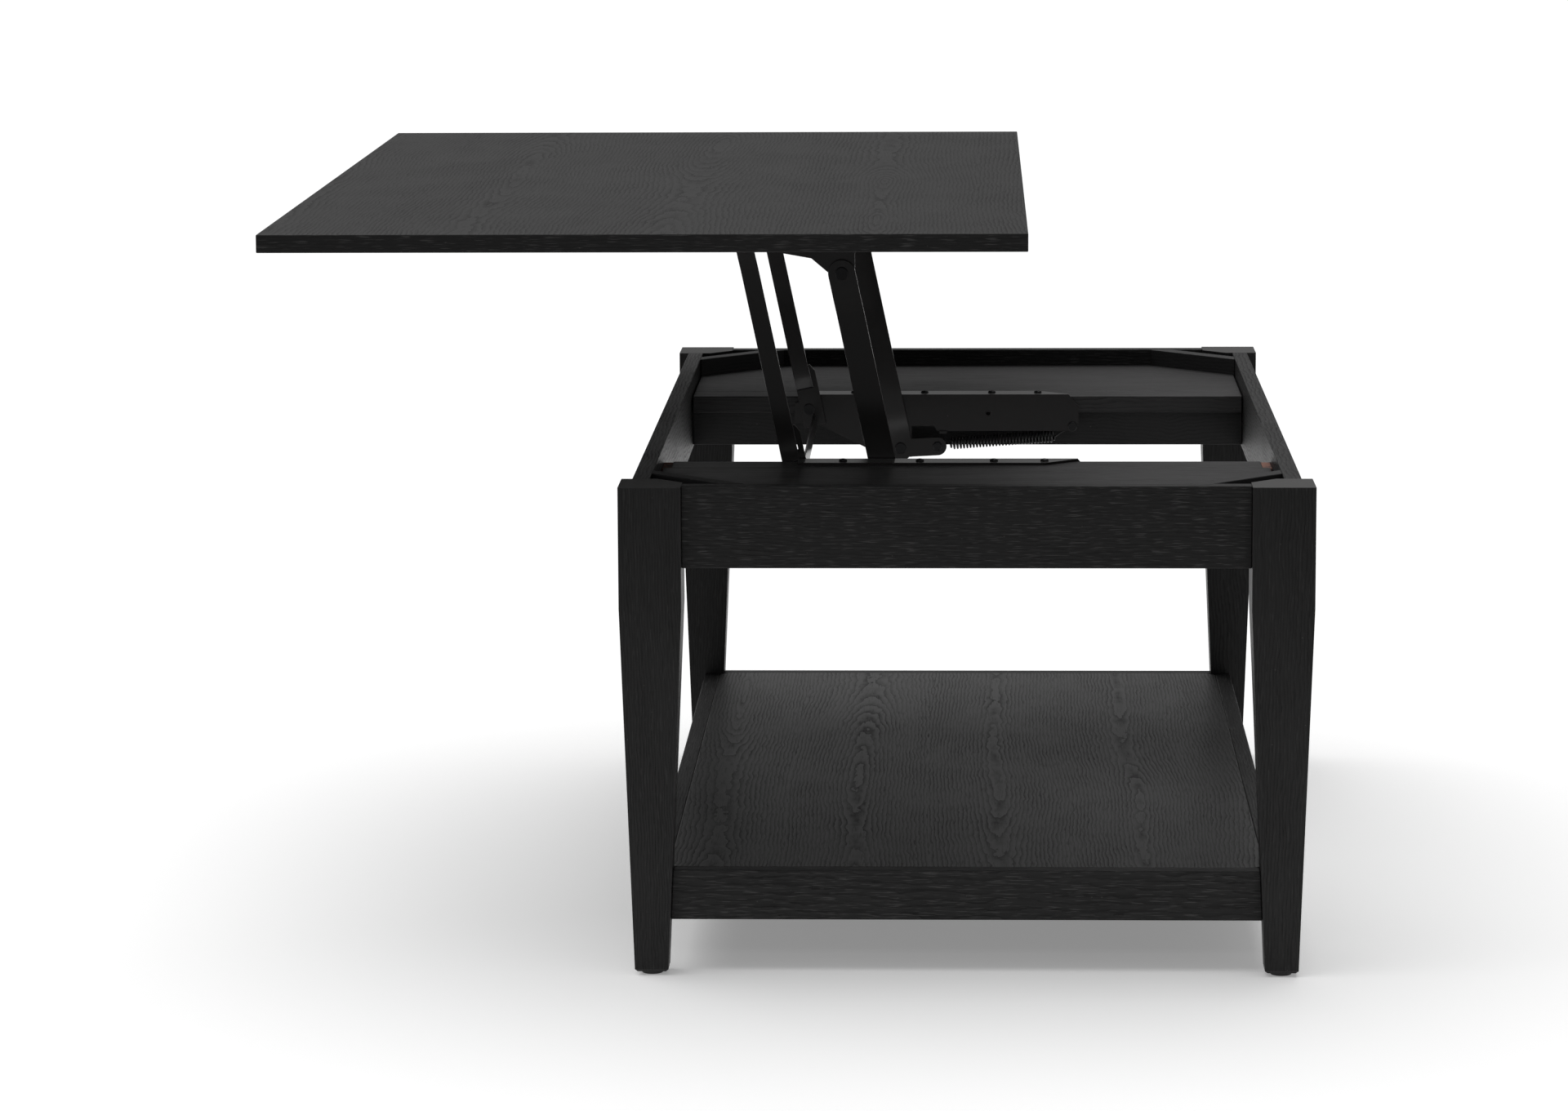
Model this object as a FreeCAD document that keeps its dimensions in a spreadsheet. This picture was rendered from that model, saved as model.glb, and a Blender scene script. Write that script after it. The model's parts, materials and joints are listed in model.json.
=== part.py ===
"""Lift top coffee table: a framed base with two platforms, and a top on two spring linkages.

Frame: X runs across the table, Y along its length, Z up, the floor at Z = 0. The top is
raised and stands out over the -X side. "near" is the -Y end, "far" the +Y end.
"""
import FreeCAD, Part
import Sketcher
import os

Vector = FreeCAD.Vector
Rotation = FreeCAD.Rotation

# ---------------------------------------------------------------------------------------
# Driving dimensions, millimetres and degrees
# ---------------------------------------------------------------------------------------
SIZES = [
    ("top_length", 1219, "tabletop along Y"),
    ("top_width", 711, "tabletop along X"),
    ("top_thickness", 17, "veneered board"),
    ("end_overhang", 49, "top past the legs at each end, when closed"),
    ("side_overhang", 29.5, "top past the legs at each side, when closed"),
    ("apron_top", 470.5, "height of the leg and apron tops"),
    ("closed_gap", 0.5, "between the aprons and the closed top"),
    ("edge_round", 1, "rounded edge of the boards"),
    ("leg_size", 59, "square leg at the top"),
    ("leg_straight", 115, "leg below its top before the taper starts"),
    ("leg_taper_out", 11.4, "how far an outer leg face leans in by the foot"),
    ("leg_taper_in", 15.8, "how far an inner leg face leans out by the foot"),
    ("leg_corner_cut", 25, "chamfer on the inner corner, facing the brace"),
    ("foot_chamfer", 2.5, "chamfer round the foot"),
    ("apron_height", 78, ""),
    ("apron_thickness", 16.5, ""),
    ("apron_inset", 10, "leg face to apron face"),
    ("brace_thickness", 17, "corner brace"),
    ("brace_height", 60, ""),
    ("brace_reach", 68, "corner brace's outer face along each apron"),
    ("platform_drop", 18, "apron top to platform top"),
    ("platform_thickness", 18, ""),
    ("opening_half", 255, "middle of the table to a platform's inner edge"),
    ("nosing_width", 45, "solid strip along the platform's inner edge"),
    ("platform_gap", 1.5, "platform to a side apron"),
    ("filler_length", 9, "raw block past each end of the near nosing"),
    ("filler_drop", 1, "platform top to the raw block's top"),
    ("rail_setback", 22, "platform edge to the rail below it"),
    ("rail_height", 38, "rail under the platform edge"),
    ("cleat_size", 18, "square cleat under the platform"),
    ("cleat_half", 200, "half the length of a cleat"),
    ("shelf_bottom", 51.5, "floor to the shelf rails"),
    ("shelf_height", 48, "shelf rails"),
    ("shelf_inset", 26, "leg face at the top to the shelf rail's face"),
    ("shelf_corner", 9.5, "corner cut of the shelf panel, clear of the legs"),
    ("shelf_gap", 0.3, "joint between the shelf panel and its rails"),
    ("foot_height", 3.5, "leveller below the leg"),
    ("foot_radius", 10, ""),
    ("foot_gap", 0.3, "leveller disc to the leg"),
    ("stem_radius", 4, "leveller's threaded stem"),
    ("stem_length", 14, ""),
    ("insert_radius", 6, "threaded insert in the leg"),
    ("insert_length", 16, ""),
    ("arm_length", 248, "pivot to pivot"),
    ("raised_angle", 101.9, "arms from +X with the top raised"),
    ("closed_angle", 4.1, "arms from +X with the top closed"),
    ("wide_pivot_out", 72, "wide arm's lower pivot, left of the middle"),
    ("wide_pivot_drop", 74, "wide arm's lower pivot below the apron top"),
    ("pivot_step_out", 99.4, "narrow arm's pivot, left of the wide arm's"),
    ("pivot_step_up", 42.8, "narrow arm's pivot, above the wide arm's"),
    ("wide_arm_width", 27, ""),
    ("narrow_arm_width", 17.5, ""),
    ("arm_thickness", 3, ""),
    ("crank_start", 26, "pivot to the start of an arm's crank"),
    ("crank_end", 40, "pivot to the end of an arm's crank"),
    ("plate_layer", 0.5, "base plate's face past the platform edge"),
    ("plate_thickness", 2.5, "pressed steel plates"),
    ("end_layer", 3.5, "arm ends past the platform edge"),
    ("middle_layer", 7.5, "arm middles past the platform edge"),
    ("bracket_layer", 7.5, "top bracket past the platform edge"),
    ("flange_width", 28, "plate flange on the platform"),
    ("bracket_flange", 26, "bracket flange under the top"),
    ("rivet_radius", 4, "pivot shank"),
    ("running_gap", 0.06, "pivot shank to the arm's hole"),
    ("lever_length", 40, "wide arm's pivot to the spring bolt"),
    ("lever_angle", 3, "lever from +X with the top raised"),
    ("lever_height", 20, ""),
    ("anchor_out", 186.4, "spring anchor, right of the wide arm's pivot"),
    ("anchor_up", 23.4, "spring anchor, above the wide arm's pivot"),
    ("spring_radius", 6.75, "outside of the coils"),
    ("spring_wire", 1.8, "wire diameter"),
    ("spring_layer", 8, "spring axis behind the platform edge"),
    ("spring_hook", 11, "bolt to the first coil"),
    ("spring_bolt_radius", 3, ""),
    ("tie_thickness", 2, "cross tie between the narrow arms"),
    ("tie_start", 6.5, "pivot to the strip's upper edge"),
    ("tie_end", 19, "pivot to the strip's lower edge"),
    ("tie_offset", 3, "arm's centre line to the strip"),
]

doc = FreeCAD.newDocument("LiftTopCoffeeTable")
sheet = doc.addObject("Spreadsheet::Sheet", "Sizes")
for line, (name, size, meaning) in enumerate(SIZES, start=1):
    sheet.set(f"A{line}", name)
    sheet.set(f"B{line}", str(size))
    sheet.set(f"C{line}", meaning)
    sheet.setAlias(f"B{line}", name)
doc.recompute()

# Sizes worked out from the driving ones, each an expression on the sheet's cells.
NAMES = {name: f"Sizes.{name}" for name, size, meaning in SIZES}


def derive(name, text):
    """Name an expression, so that later ones can use it in braces."""
    NAMES[name] = "(" + text.format_map(NAMES) + ")"


def expression(text):
    """An expression for setExpression, from text with sizes in braces."""
    return str(text).format_map(NAMES)


def value(text):
    """The number that an expression stands for now."""
    return float(sheet.evalExpression(expression(text)))


derive("base_half_width", "{top_width}/2 - {side_overhang}")
derive("base_half_length", "{top_length}/2 - {end_overhang}")
derive("slide", "{arm_length}*(cos({closed_angle}) - cos({raised_angle}))")
derive("rise", "{arm_length}*(sin({raised_angle}) - sin({closed_angle}))")
derive("base_x", "({slide} + {top_width}/2 - {base_half_width})/2")
derive("top_x", "{base_x} - {slide}")
derive("top_z", "{apron_top} + {closed_gap} + {rise}")
derive("apron_outer_x", "{base_half_width} - {apron_inset}")
derive("apron_outer_y", "{base_half_length} - {apron_inset}")
derive("apron_inner_x", "{apron_outer_x} - {apron_thickness}")
derive("apron_inner_y", "{apron_outer_y} - {apron_thickness}")
derive("leg_inner_x", "{base_half_width} - {leg_size}")
derive("leg_inner_y", "{base_half_length} - {leg_size}")
derive("taper_length", "{apron_top} - {leg_straight} - {foot_height}")
derive("platform_z", "{apron_top} - {platform_drop}")
derive("platform_under", "{platform_z} - {platform_thickness}")
derive("wide_x", "{base_x} - {wide_pivot_out}")
derive("wide_z", "{apron_top} - {wide_pivot_drop}")
derive("narrow_x", "{wide_x} - {pivot_step_out}")
derive("narrow_z", "{wide_z} + {pivot_step_up}")
derive("arm_run", "{arm_length}*cos({raised_angle})")
derive("arm_rise", "{arm_length}*sin({raised_angle})")
derive("upper_wide_x", "{wide_x} + {arm_run}")
derive("upper_wide_z", "{wide_z} + {arm_rise}")
derive("upper_narrow_x", "{narrow_x} + {arm_run}")
derive("upper_narrow_z", "{narrow_z} + {arm_rise}")
derive("lever_x", "{lever_length}*cos({lever_angle})")
derive("lever_z", "{lever_length}*sin({lever_angle})")
derive("pivot_to_top", "{top_z} - {upper_wide_z}")

ENDS = {"near": -1, "far": 1}
SIDES = {"left": -1, "right": 1}
nodes = []


# ---------------------------------------------------------------------------------------
# Ways of making a piece
# ---------------------------------------------------------------------------------------
def place(piece, x, y, z):
    """Bind a piece's position to the sheet."""
    for axis, where in (("x", x), ("y", y), ("z", z)):
        piece.setExpression(f"Placement.Base.{axis}", expression(where))


def turn(piece, degrees):
    """Turn a piece about Y, from +X towards +Z."""
    piece.Placement.Rotation = Rotation(Vector(0, -1, 0), value(degrees))


def new_body(label):
    """An empty body that becomes one node."""
    body = doc.addObject("PartDesign::Body", "Body")
    body.Label = label
    nodes.append(body)
    return body


def new_sketch(body, plane, offset="0"):
    """A sketch on one of the body's own planes, moved along that plane's normal."""
    sketch = body.newObject("Sketcher::SketchObject", "Sketch")
    origin_plane = [feature for feature in body.Origin.OriginFeatures if feature.Role == plane][0]
    sketch.AttachmentSupport = [(origin_plane, "")]
    sketch.MapMode = "FlatFace"
    sketch.setExpression("AttachmentOffset.Base.z", expression(offset))
    return sketch


def draw_outline(sketch, points):
    """A closed outline through points, each coordinate bound to its own expression."""
    start = [Vector(value(x), value(y), 0) for x, y in points]
    first = sketch.GeometryCount
    for here, there in zip(start, start[1:] + start[:1]):
        sketch.addGeometry(Part.LineSegment(here, there))
    count = len(points)
    for step in range(count):
        following = first + (step + 1) % count
        sketch.addConstraint(Sketcher.Constraint("Coincident", first + step, 2, following, 1))
    for step, (x, y) in enumerate(points):
        for kind, where, number in (("DistanceX", x, start[step].x), ("DistanceY", y, start[step].y)):
            index = sketch.addConstraint(Sketcher.Constraint(kind, -1, 1, first + step, 1, number))
            sketch.setExpression(f"Constraints[{index}]", expression(where))


def draw_circle(sketch, x, y, radius):
    """A circle whose centre and radius are bound to expressions."""
    centre = Vector(value(x), value(y), 0)
    index = sketch.addGeometry(Part.Circle(centre, Vector(0, 0, 1), value(radius)))
    for kind, where, number in (("DistanceX", x, centre.x), ("DistanceY", y, centre.y)):
        rule = sketch.addConstraint(Sketcher.Constraint(kind, -1, 1, index, 3, number))
        sketch.setExpression(f"Constraints[{rule}]", expression(where))
    rule = sketch.addConstraint(Sketcher.Constraint("Radius", index, value(radius)))
    sketch.setExpression(f"Constraints[{rule}]", expression(radius))


def pad(body, sketch, length, reverse=False, midplane=False):
    """Extrude a sketch; reverse sends it against the plane's normal."""
    feature = body.newObject("PartDesign::Pad", "Pad")
    feature.Profile = sketch
    feature.setExpression("Length", expression(length))
    feature.Midplane = midplane
    feature.Reversed = reverse
    return feature


def pocket_through(body, sketch):
    """Cut a sketch right through the body, both ways."""
    feature = body.newObject("PartDesign::Pocket", "Pocket")
    feature.Profile = sketch
    feature.Type = "ThroughAll"
    feature.Midplane = True
    return feature


def edges_where(feature, test):
    """Names of the edges whose middle point and direction pass a test."""
    found = []
    for index, edge in enumerate(feature.Shape.Edges, start=1):
        middle = edge.valueAt((edge.FirstParameter + edge.LastParameter)/2)
        along = edge.tangentAt(edge.FirstParameter)
        if test(middle, along):
            found.append(f"Edge{index}")
    return found


def dress(body, kind, size, test=lambda middle, along: True):
    """Fillet or chamfer the body's edges that pass a test."""
    doc.recompute()
    base = body.Tip
    feature = body.newObject(f"PartDesign::{kind}", kind)
    feature.Base = (base, edges_where(base, test))
    feature.setExpression("Radius" if kind == "Fillet" else "Size", expression(size))
    return feature


def board(label, size, at):
    """A board with rounded edges; at is its lowest corner."""
    body = new_body(label)
    box = body.newObject("PartDesign::AdditiveBox", "Box")
    for side, length in zip(("Length", "Width", "Height"), size):
        box.setExpression(side, expression(length))
    place(body, *at)
    dress(body, "Fillet", "{edge_round}")
    return body


def flat_piece(label, outline, thickness, z):
    """A piece cut to an outline seen from above, on the height z."""
    body = new_body(label)
    sketch = new_sketch(body, "XY_Plane")
    draw_outline(sketch, outline)
    pad(body, sketch, thickness)
    place(body, "{base_x}", "0", z)
    dress(body, "Fillet", "{edge_round}")
    return body


def group(label, solids):
    """Like pieces that share a node, kept as separate solids."""
    piece = doc.addObject("Part::Feature", "Group")
    piece.Shape = Part.makeCompound(solids)
    piece.Label = label
    nodes.append(piece)
    return piece


def inward(end):
    """The way from a platform's edge into the opening, along Y."""
    return -ENDS[end]


def edge_y(end):
    return f"{ENDS[end]}*{{opening_half}}"


def layer_pad(body, outline, layer, thickness, end):
    """A flat layer in the XZ plane, counted from the platform edge into the opening."""
    sketch = new_sketch(body, "XZ_Plane", f"{-inward(end)}*({layer})")
    draw_outline(sketch, outline)
    return pad(body, sketch, thickness, reverse=inward(end) > 0)


def layer_holes(body, centres, radius):
    """Round holes along Y, right through the body."""
    sketch = new_sketch(body, "XZ_Plane")
    for x, z in centres:
        draw_circle(sketch, x, z, radius)
    return pocket_through(body, sketch)


def pin_stack(x, z, end, steps):
    """A turned pin along Y, as (start layer, end layer, radius) lengths fused together."""
    centre_y = value(edge_y(end))
    direction = Vector(0, inward(end), 0)
    lengths = []
    for start, stop, radius in steps:
        low, high = value(start), value(stop)
        base = Vector(value(x), centre_y + inward(end)*low, value(z))
        lengths.append(Part.makeCylinder(value(radius), high - low, base, direction))
    solid = lengths[0]
    for length in lengths[1:]:
        solid = solid.fuse(length)
    return solid.removeSplitter()


# ---------------------------------------------------------------------------------------
# Legs, aprons and corner braces
# ---------------------------------------------------------------------------------------
def leg(end, side):
    """A square leg whose four faces taper towards the foot below the apron."""
    sx, sy = SIDES[side], ENDS[end]
    body = new_body(f"leg_{end}_{side}")
    straight_z = "{apron_top} - {leg_straight}"

    def profile(sign, half):
        """The leg from one side, outer face first."""
        outer, inner = f"{sign}*{half}", f"{sign}*({half} - {{leg_size}})"
        foot_out = f"{sign}*({half} - {{leg_taper_out}})"
        foot_in = f"{sign}*({half} - {{leg_size}} + {{leg_taper_in}})"
        return outer, inner, foot_out, foot_in

    outer, inner, foot_out, foot_in = profile(sx, "{base_half_width}")
    front = new_sketch(body, "XZ_Plane")
    draw_outline(front, [(outer, "{apron_top}"), (outer, straight_z), (foot_out, "{foot_height}"),
                         (foot_in, "{foot_height}"), (inner, straight_z), (inner, "{apron_top}")])
    pad(body, front, "2*{base_half_length}", midplane=True)

    outer, inner, foot_out, foot_in = profile(sy, "{base_half_length}")
    past = f"{sy}*({{base_half_length}} + {{leg_size}})"
    behind = f"{-sy}*({{base_half_length}} + {{leg_size}})"
    above, below = "{apron_top} + {leg_size}", "{foot_height} - {leg_size}"
    waste = new_sketch(body, "YZ_Plane")
    draw_outline(waste, [(outer, above), (outer, straight_z), (foot_out, "{foot_height}"),
                         (foot_out, below), (past, below), (past, above)])
    draw_outline(waste, [(inner, above), (inner, straight_z), (foot_in, "{foot_height}"),
                         (foot_in, below), (behind, below), (behind, above)])
    pocket_through(body, waste)

    corner = new_sketch(body, "XY_Plane", "{apron_top} - {apron_height}")
    reach = "({leg_inner_x} + {leg_corner_cut})", "({leg_inner_y} + {leg_corner_cut})"
    draw_outline(corner, [(f"{sx}*({{leg_inner_x}} - 1)", f"{sy}*({{leg_inner_y}} - 1)"),
                          (f"{sx}*{reach[0]}", f"{sy}*({{leg_inner_y}} - 1)"),
                          (f"{sx}*{reach[0]}", f"{sy}*{{leg_inner_y}}"),
                          (f"{sx}*{{leg_inner_x}}", f"{sy}*{reach[1]}"),
                          (f"{sx}*({{leg_inner_x}} - 1)", f"{sy}*{reach[1]}")])
    cut = body.newObject("PartDesign::Pocket", "Pocket")
    cut.Profile = corner
    cut.Reversed = True
    cut.setExpression("Length", expression("{apron_height} + 1"))

    dress(body, "Chamfer", "{foot_chamfer}", lambda middle, along: middle.z < value("{foot_height}") + 0.1)

    hole = new_sketch(body, "XY_Plane", "{foot_height}")
    draw_circle(hole, foot_centre("x", side), foot_centre("y", end), "{insert_radius}")
    bore = body.newObject("PartDesign::Pocket", "Pocket")
    bore.Profile = hole
    bore.Reversed = True
    bore.setExpression("Length", expression("{insert_length}"))
    place(body, "{base_x}", "0", "0")


def foot_centre(axis, name):
    """The middle of a leg's foot, from the middle of the table."""
    half = "{base_half_width}" if axis == "x" else "{base_half_length}"
    sign = SIDES[name] if axis == "x" else ENDS[name]
    return f"{sign}*({half} - ({{leg_size}} + {{leg_taper_out}} - {{leg_taper_in}})/2)"


for end in ENDS:
    for side in SIDES:
        leg(end, side)

for end, sign in ENDS.items():
    low_y = "-{apron_outer_y}" if sign < 0 else "{apron_inner_y}"
    board(f"end_apron_{end}",
          ("2*{leg_inner_x}", "{apron_thickness}", "{apron_height}"),
          ("{base_x} - {leg_inner_x}", low_y, "{apron_top} - {apron_height}"))

for side, sign in SIDES.items():
    low_x = "-{apron_outer_x}" if sign < 0 else "{apron_inner_x}"
    board(f"side_apron_{side}",
          ("{apron_thickness}", "2*{leg_inner_y}", "{apron_height}"),
          ("{base_x} + " + low_x, "-{leg_inner_y}", "{apron_top} - {apron_height}"))

derive("brace_inner_reach", "{brace_reach} + {brace_thickness}*sqrt(2)")


def corner_brace(end, side):
    """A block across the corner, between the side apron and the end apron."""
    sx, sy = SIDES[side], ENDS[end]
    outline = []
    for reach_x, reach_y in (("{brace_reach}", "0"), ("0", "{brace_reach}"),
                             ("0", "{brace_inner_reach}"), ("{brace_inner_reach}", "0")):
        outline.append((f"{sx}*({{apron_inner_x}} - {reach_x})", f"{sy}*({{apron_inner_y}} - {reach_y})"))
    flat_piece(f"corner_brace_{end}_{side}", outline, "{brace_height}", "{apron_top} - {brace_height}")


for end in ENDS:
    for side in SIDES:
        corner_brace(end, side)


def hanger_bolt(end, side):
    """A wood-threaded bolt through the corner brace into the leg, with its nut."""
    sx, sy = SIDES[side], ENDS[end]
    outward = Vector(sx, sy, 0).normalize()
    reach = value("{brace_inner_reach}")/2
    face = Vector(value("{base_x}") + sx*(value("{apron_inner_x}") - reach),
                  sy*(value("{apron_inner_y}") - reach),
                  value("{apron_top} - {brace_height}") + BOLT_RISE)
    shank = Part.makeCylinder(BOLT_RADIUS, BOLT_LENGTH, face - outward*BOLT_TAIL, outward)
    nut_points = []
    for corner in range(7):
        spoke = Rotation(outward, 60*corner).multVec(Vector(0, 0, 1))
        nut_points.append(face - outward*NUT_THICKNESS + spoke*NUT_RADIUS)
    nut = Part.Face(Part.makePolygon(nut_points)).extrude(outward*NUT_THICKNESS)
    return shank.fuse(nut).removeSplitter()


BOLT_RADIUS = 3
BOLT_LENGTH = 85
BOLT_TAIL = 10
BOLT_RISE = 11
NUT_RADIUS = 6
NUT_THICKNESS = 5
group("hanger_bolts", [hanger_bolt(end, side) for end in ENDS for side in SIDES])


# ---------------------------------------------------------------------------------------
# Platforms at the two ends
# ---------------------------------------------------------------------------------------
derive("nosing_start", "{opening_half} + {nosing_width}")
derive("corner_clear", "{brace_inner_reach} + {shelf_gap}")
derive("platform_half", "{apron_inner_x} - {platform_gap}")

for end, sign in ENDS.items():
    flat_piece(
        f"platform_{end}",
        [("-{platform_half}", f"{sign}*{{nosing_start}}"),
         ("-{platform_half}", f"{sign}*({{apron_inner_y}} - {{corner_clear}} + {{platform_gap}})"),
         ("-({apron_inner_x} - {corner_clear})", f"{sign}*{{apron_inner_y}}"),
         ("{apron_inner_x} - {corner_clear}", f"{sign}*{{apron_inner_y}}"),
         ("{platform_half}", f"{sign}*({{apron_inner_y}} - {{corner_clear}} + {{platform_gap}})"),
         ("{platform_half}", f"{sign}*{{nosing_start}}")],
        "{platform_thickness}", "{platform_under}")
    low_y = "-{nosing_start}" if sign < 0 else "{opening_half}"
    half = "({apron_inner_x} - {filler_length})" if sign < 0 else "{platform_half}"
    board(f"platform_nosing_{end}",
          (f"2*{half}", "{nosing_width}", "{platform_thickness}"),
          (f"{{base_x}} - {half}", low_y, "{platform_under}"))
    rail_y = "{opening_half} + {rail_setback}"
    low_y = f"-({rail_y} + {{apron_thickness}})" if sign < 0 else rail_y
    board(f"platform_rail_{end}",
          ("2*{apron_inner_x}", "{apron_thickness}", "{rail_height}"),
          ("{base_x} - {apron_inner_x}", low_y, "{platform_under} - {rail_height}"))
    low_y = "-{apron_inner_y}" if sign < 0 else "{apron_inner_y} - {cleat_size}"
    board(f"platform_cleat_{end}",
          ("2*{cleat_half}", "{cleat_size}", "{cleat_size}"),
          ("{base_x} - {cleat_half}", low_y, "{platform_under} - {cleat_size}"))


def nosing_filler(side):
    """A raw block between the near nosing and a side apron."""
    length = value("{filler_length}")
    inner = value("{apron_inner_x}")
    start = inner - length if SIDES[side] > 0 else -inner
    return Part.makeBox(length, value("{nosing_width}"), value("{platform_thickness} - {filler_drop}"),
                        Vector(value("{base_x}") + start, -value("{nosing_start}"),
                               value("{platform_under}")))


group("nosing_fillers", [nosing_filler(side) for side in SIDES])


# ---------------------------------------------------------------------------------------
# Shelf
# ---------------------------------------------------------------------------------------
derive("shelf_top", "{shelf_bottom} + {shelf_height}")
derive("shelf_outer_x", "{base_half_width} - {shelf_inset}")
derive("shelf_outer_y", "{base_half_length} - {shelf_inset}")
derive("shelf_inner_x", "{shelf_outer_x} - {apron_thickness}")
derive("shelf_inner_y", "{shelf_outer_y} - {apron_thickness}")
derive("taper_slope", "{leg_taper_in}/{taper_length}")
derive("lean_low", "({apron_top} - {leg_straight} - {shelf_bottom})*{taper_slope}")
derive("lean_high", "({apron_top} - {leg_straight} - {shelf_top})*{taper_slope}")


def shelf_rail(label, plane, leg_face, sign, inner, at):
    """A rail between two legs, its ends cut to the legs' taper."""
    body = new_body(label)
    sketch = new_sketch(body, plane, f"{sign}*{inner}")
    draw_outline(sketch, [(f"-({leg_face} + {{lean_low}})", "0"),
                          (f"{leg_face} + {{lean_low}}", "0"),
                          (f"{leg_face} + {{lean_high}}", "{shelf_height}"),
                          (f"-({leg_face} + {{lean_high}})", "{shelf_height}")])
    pad(body, sketch, "{apron_thickness}", reverse=sign < 0)
    place(body, *at)
    dress(body, "Fillet", "{edge_round}")


for end, sign in ENDS.items():
    shelf_rail(f"shelf_end_rail_{end}", "XZ_Plane", "{leg_inner_x}", -sign, "{shelf_inner_y}",
               ("{base_x}", "0", "{shelf_bottom}"))
for side, sign in SIDES.items():
    shelf_rail(f"shelf_side_rail_{side}", "YZ_Plane", "{leg_inner_y}", sign, "{shelf_inner_x}",
               ("{base_x}", "0", "{shelf_bottom}"))

shelf = new_body("shelf_panel")
shelf_box = shelf.newObject("PartDesign::AdditiveBox", "Box")
shelf_box.setExpression("Length", expression("2*({shelf_inner_x} - {shelf_gap})"))
shelf_box.setExpression("Width", expression("2*({shelf_inner_y} - {shelf_gap})"))
shelf_box.setExpression("Height", expression("{platform_thickness}"))
place(shelf, "{base_x} - {shelf_inner_x} + {shelf_gap}", "{shelf_gap} - {shelf_inner_y}",
      "{shelf_top} - {platform_thickness}")
dress(shelf, "Chamfer", "{shelf_corner}", lambda middle, along: abs(along.z) > 0.99)
dress(shelf, "Fillet", "{edge_round}", lambda middle, along: abs(along.z) < 0.01)


# ---------------------------------------------------------------------------------------
# Levelling feet
# ---------------------------------------------------------------------------------------
def foot_axis(end, side):
    return Vector(value("{base_x} + " + foot_centre("x", side)), value(foot_centre("y", end)), 0)


def foot_insert(end, side):
    """A threaded sleeve pressed into the leg."""
    base = foot_axis(end, side) + Vector(0, 0, value("{foot_height}"))
    sleeve = Part.makeCylinder(value("{insert_radius}"), value("{insert_length}"), base)
    bore = Part.makeCylinder(value("{stem_radius} + {running_gap}"), value("{insert_length}"), base)
    return sleeve.cut(bore)


group("leg_inserts", [foot_insert(end, side) for end in ENDS for side in SIDES])

for end in ENDS:
    for side in SIDES:
        foot = new_body(f"leveller_{end}_{side}")
        half = new_sketch(foot, "XZ_Plane")
        disc_top = "{foot_height} - {foot_gap}"
        stem_top = "{foot_height} + {stem_length}"
        draw_outline(half, [("0", "0"), ("{foot_radius} - {foot_gap}", "0"),
                            ("{foot_radius}", "{foot_gap}"), ("{foot_radius}", disc_top),
                            ("{stem_radius}", disc_top), ("{stem_radius}", stem_top), ("0", stem_top)])
        turning = foot.newObject("PartDesign::Revolution", "Revolution")
        turning.Profile = half
        turning.ReferenceAxis = (half, ["V_Axis"])
        turning.Angle = 360
        place(foot, "{base_x} + " + foot_centre("x", side), foot_centre("y", end), "0")


# ---------------------------------------------------------------------------------------
# Lift linkage: plates on the base
# ---------------------------------------------------------------------------------------
derive("flange_level", "{wide_pivot_drop} - {platform_drop} + {plate_thickness}")
PLATE_LEFT, PLATE_RIGHT = "-115", "193"
FLANGE_LEFT = "-94.5"
STOP_LEFT, STOP_RIGHT = "42", "50"
PLATE_FOOT = "18.5"
HEAD_GAP = 0.2
SCREW_HEAD_RADIUS = 4.2
SCREW_HEAD = 2.2
SCREW_RADIUS = 1.9
SCREW_LENGTH = 14
FLANGE_SCREWS = (-50, 26, 99, 149)
BRACKET_SCREWS = (-92, -45, 2)


def screw_holes(body, along_x, across_y):
    """Clearance holes down through a flange."""
    sketch = new_sketch(body, "XY_Plane")
    for x in along_x:
        draw_circle(sketch, x, across_y, SCREW_RADIUS + HEAD_GAP)
    pocket_through(body, sketch)


def base_plate(end):
    """A pressed plate hung on the platform's edge, with the two lower pivots."""
    body = new_body(f"base_plate_{end}")
    top = "{flange_level}"
    layer_pad(body, [(FLANGE_LEFT, top), (PLATE_LEFT, "48"), (PLATE_LEFT, "28"), ("-92", "27"), ("-17", "-10"),
                     ("12", "-10"), ("12", "24"), ("36", "24"), ("40", PLATE_FOOT), ("184", PLATE_FOOT),
                     (PLATE_RIGHT, "26"), (PLATE_RIGHT, "46"), ("182", top)],
              "{plate_layer}", "{plate_thickness}", end)
    flange = new_sketch(body, "XY_Plane", "{flange_level} - {plate_thickness}")
    near_edge, far_edge = "{plate_layer}", "{plate_layer} - {flange_width}"
    draw_outline(flange, [(FLANGE_LEFT, f"{inward(end)}*({near_edge})"),
                          (FLANGE_LEFT, f"{inward(end)}*({far_edge})"),
                          ("150", f"{inward(end)}*({far_edge})"), ("182", f"{inward(end)}*({near_edge})")])
    pad(body, flange, "{plate_thickness}")
    layer_pad(body, [(STOP_LEFT, PLATE_FOOT), (STOP_RIGHT, PLATE_FOOT),
                     (STOP_RIGHT, PLATE_FOOT + " - {plate_thickness}"),
                     (STOP_LEFT, PLATE_FOOT + " - {plate_thickness}")],
              "{plate_layer}", "{plate_layer} + {plate_thickness} + {arm_thickness}", end)
    layer_holes(body, [("0", "0"), ("-{pivot_step_out}", "{pivot_step_up}")], "{rivet_radius}")
    layer_holes(body, [("{anchor_out}", "{anchor_up}")], "{spring_bolt_radius}")
    layer_holes(body, [("95", "38")], "2.5")
    screw_holes(body, FLANGE_SCREWS, f"{inward(end)}*({{plate_layer}} - {{flange_width}}/2)")
    place(body, "{wide_x}", edge_y(end), "{wide_z}")


for end in ENDS:
    base_plate(end)


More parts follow.
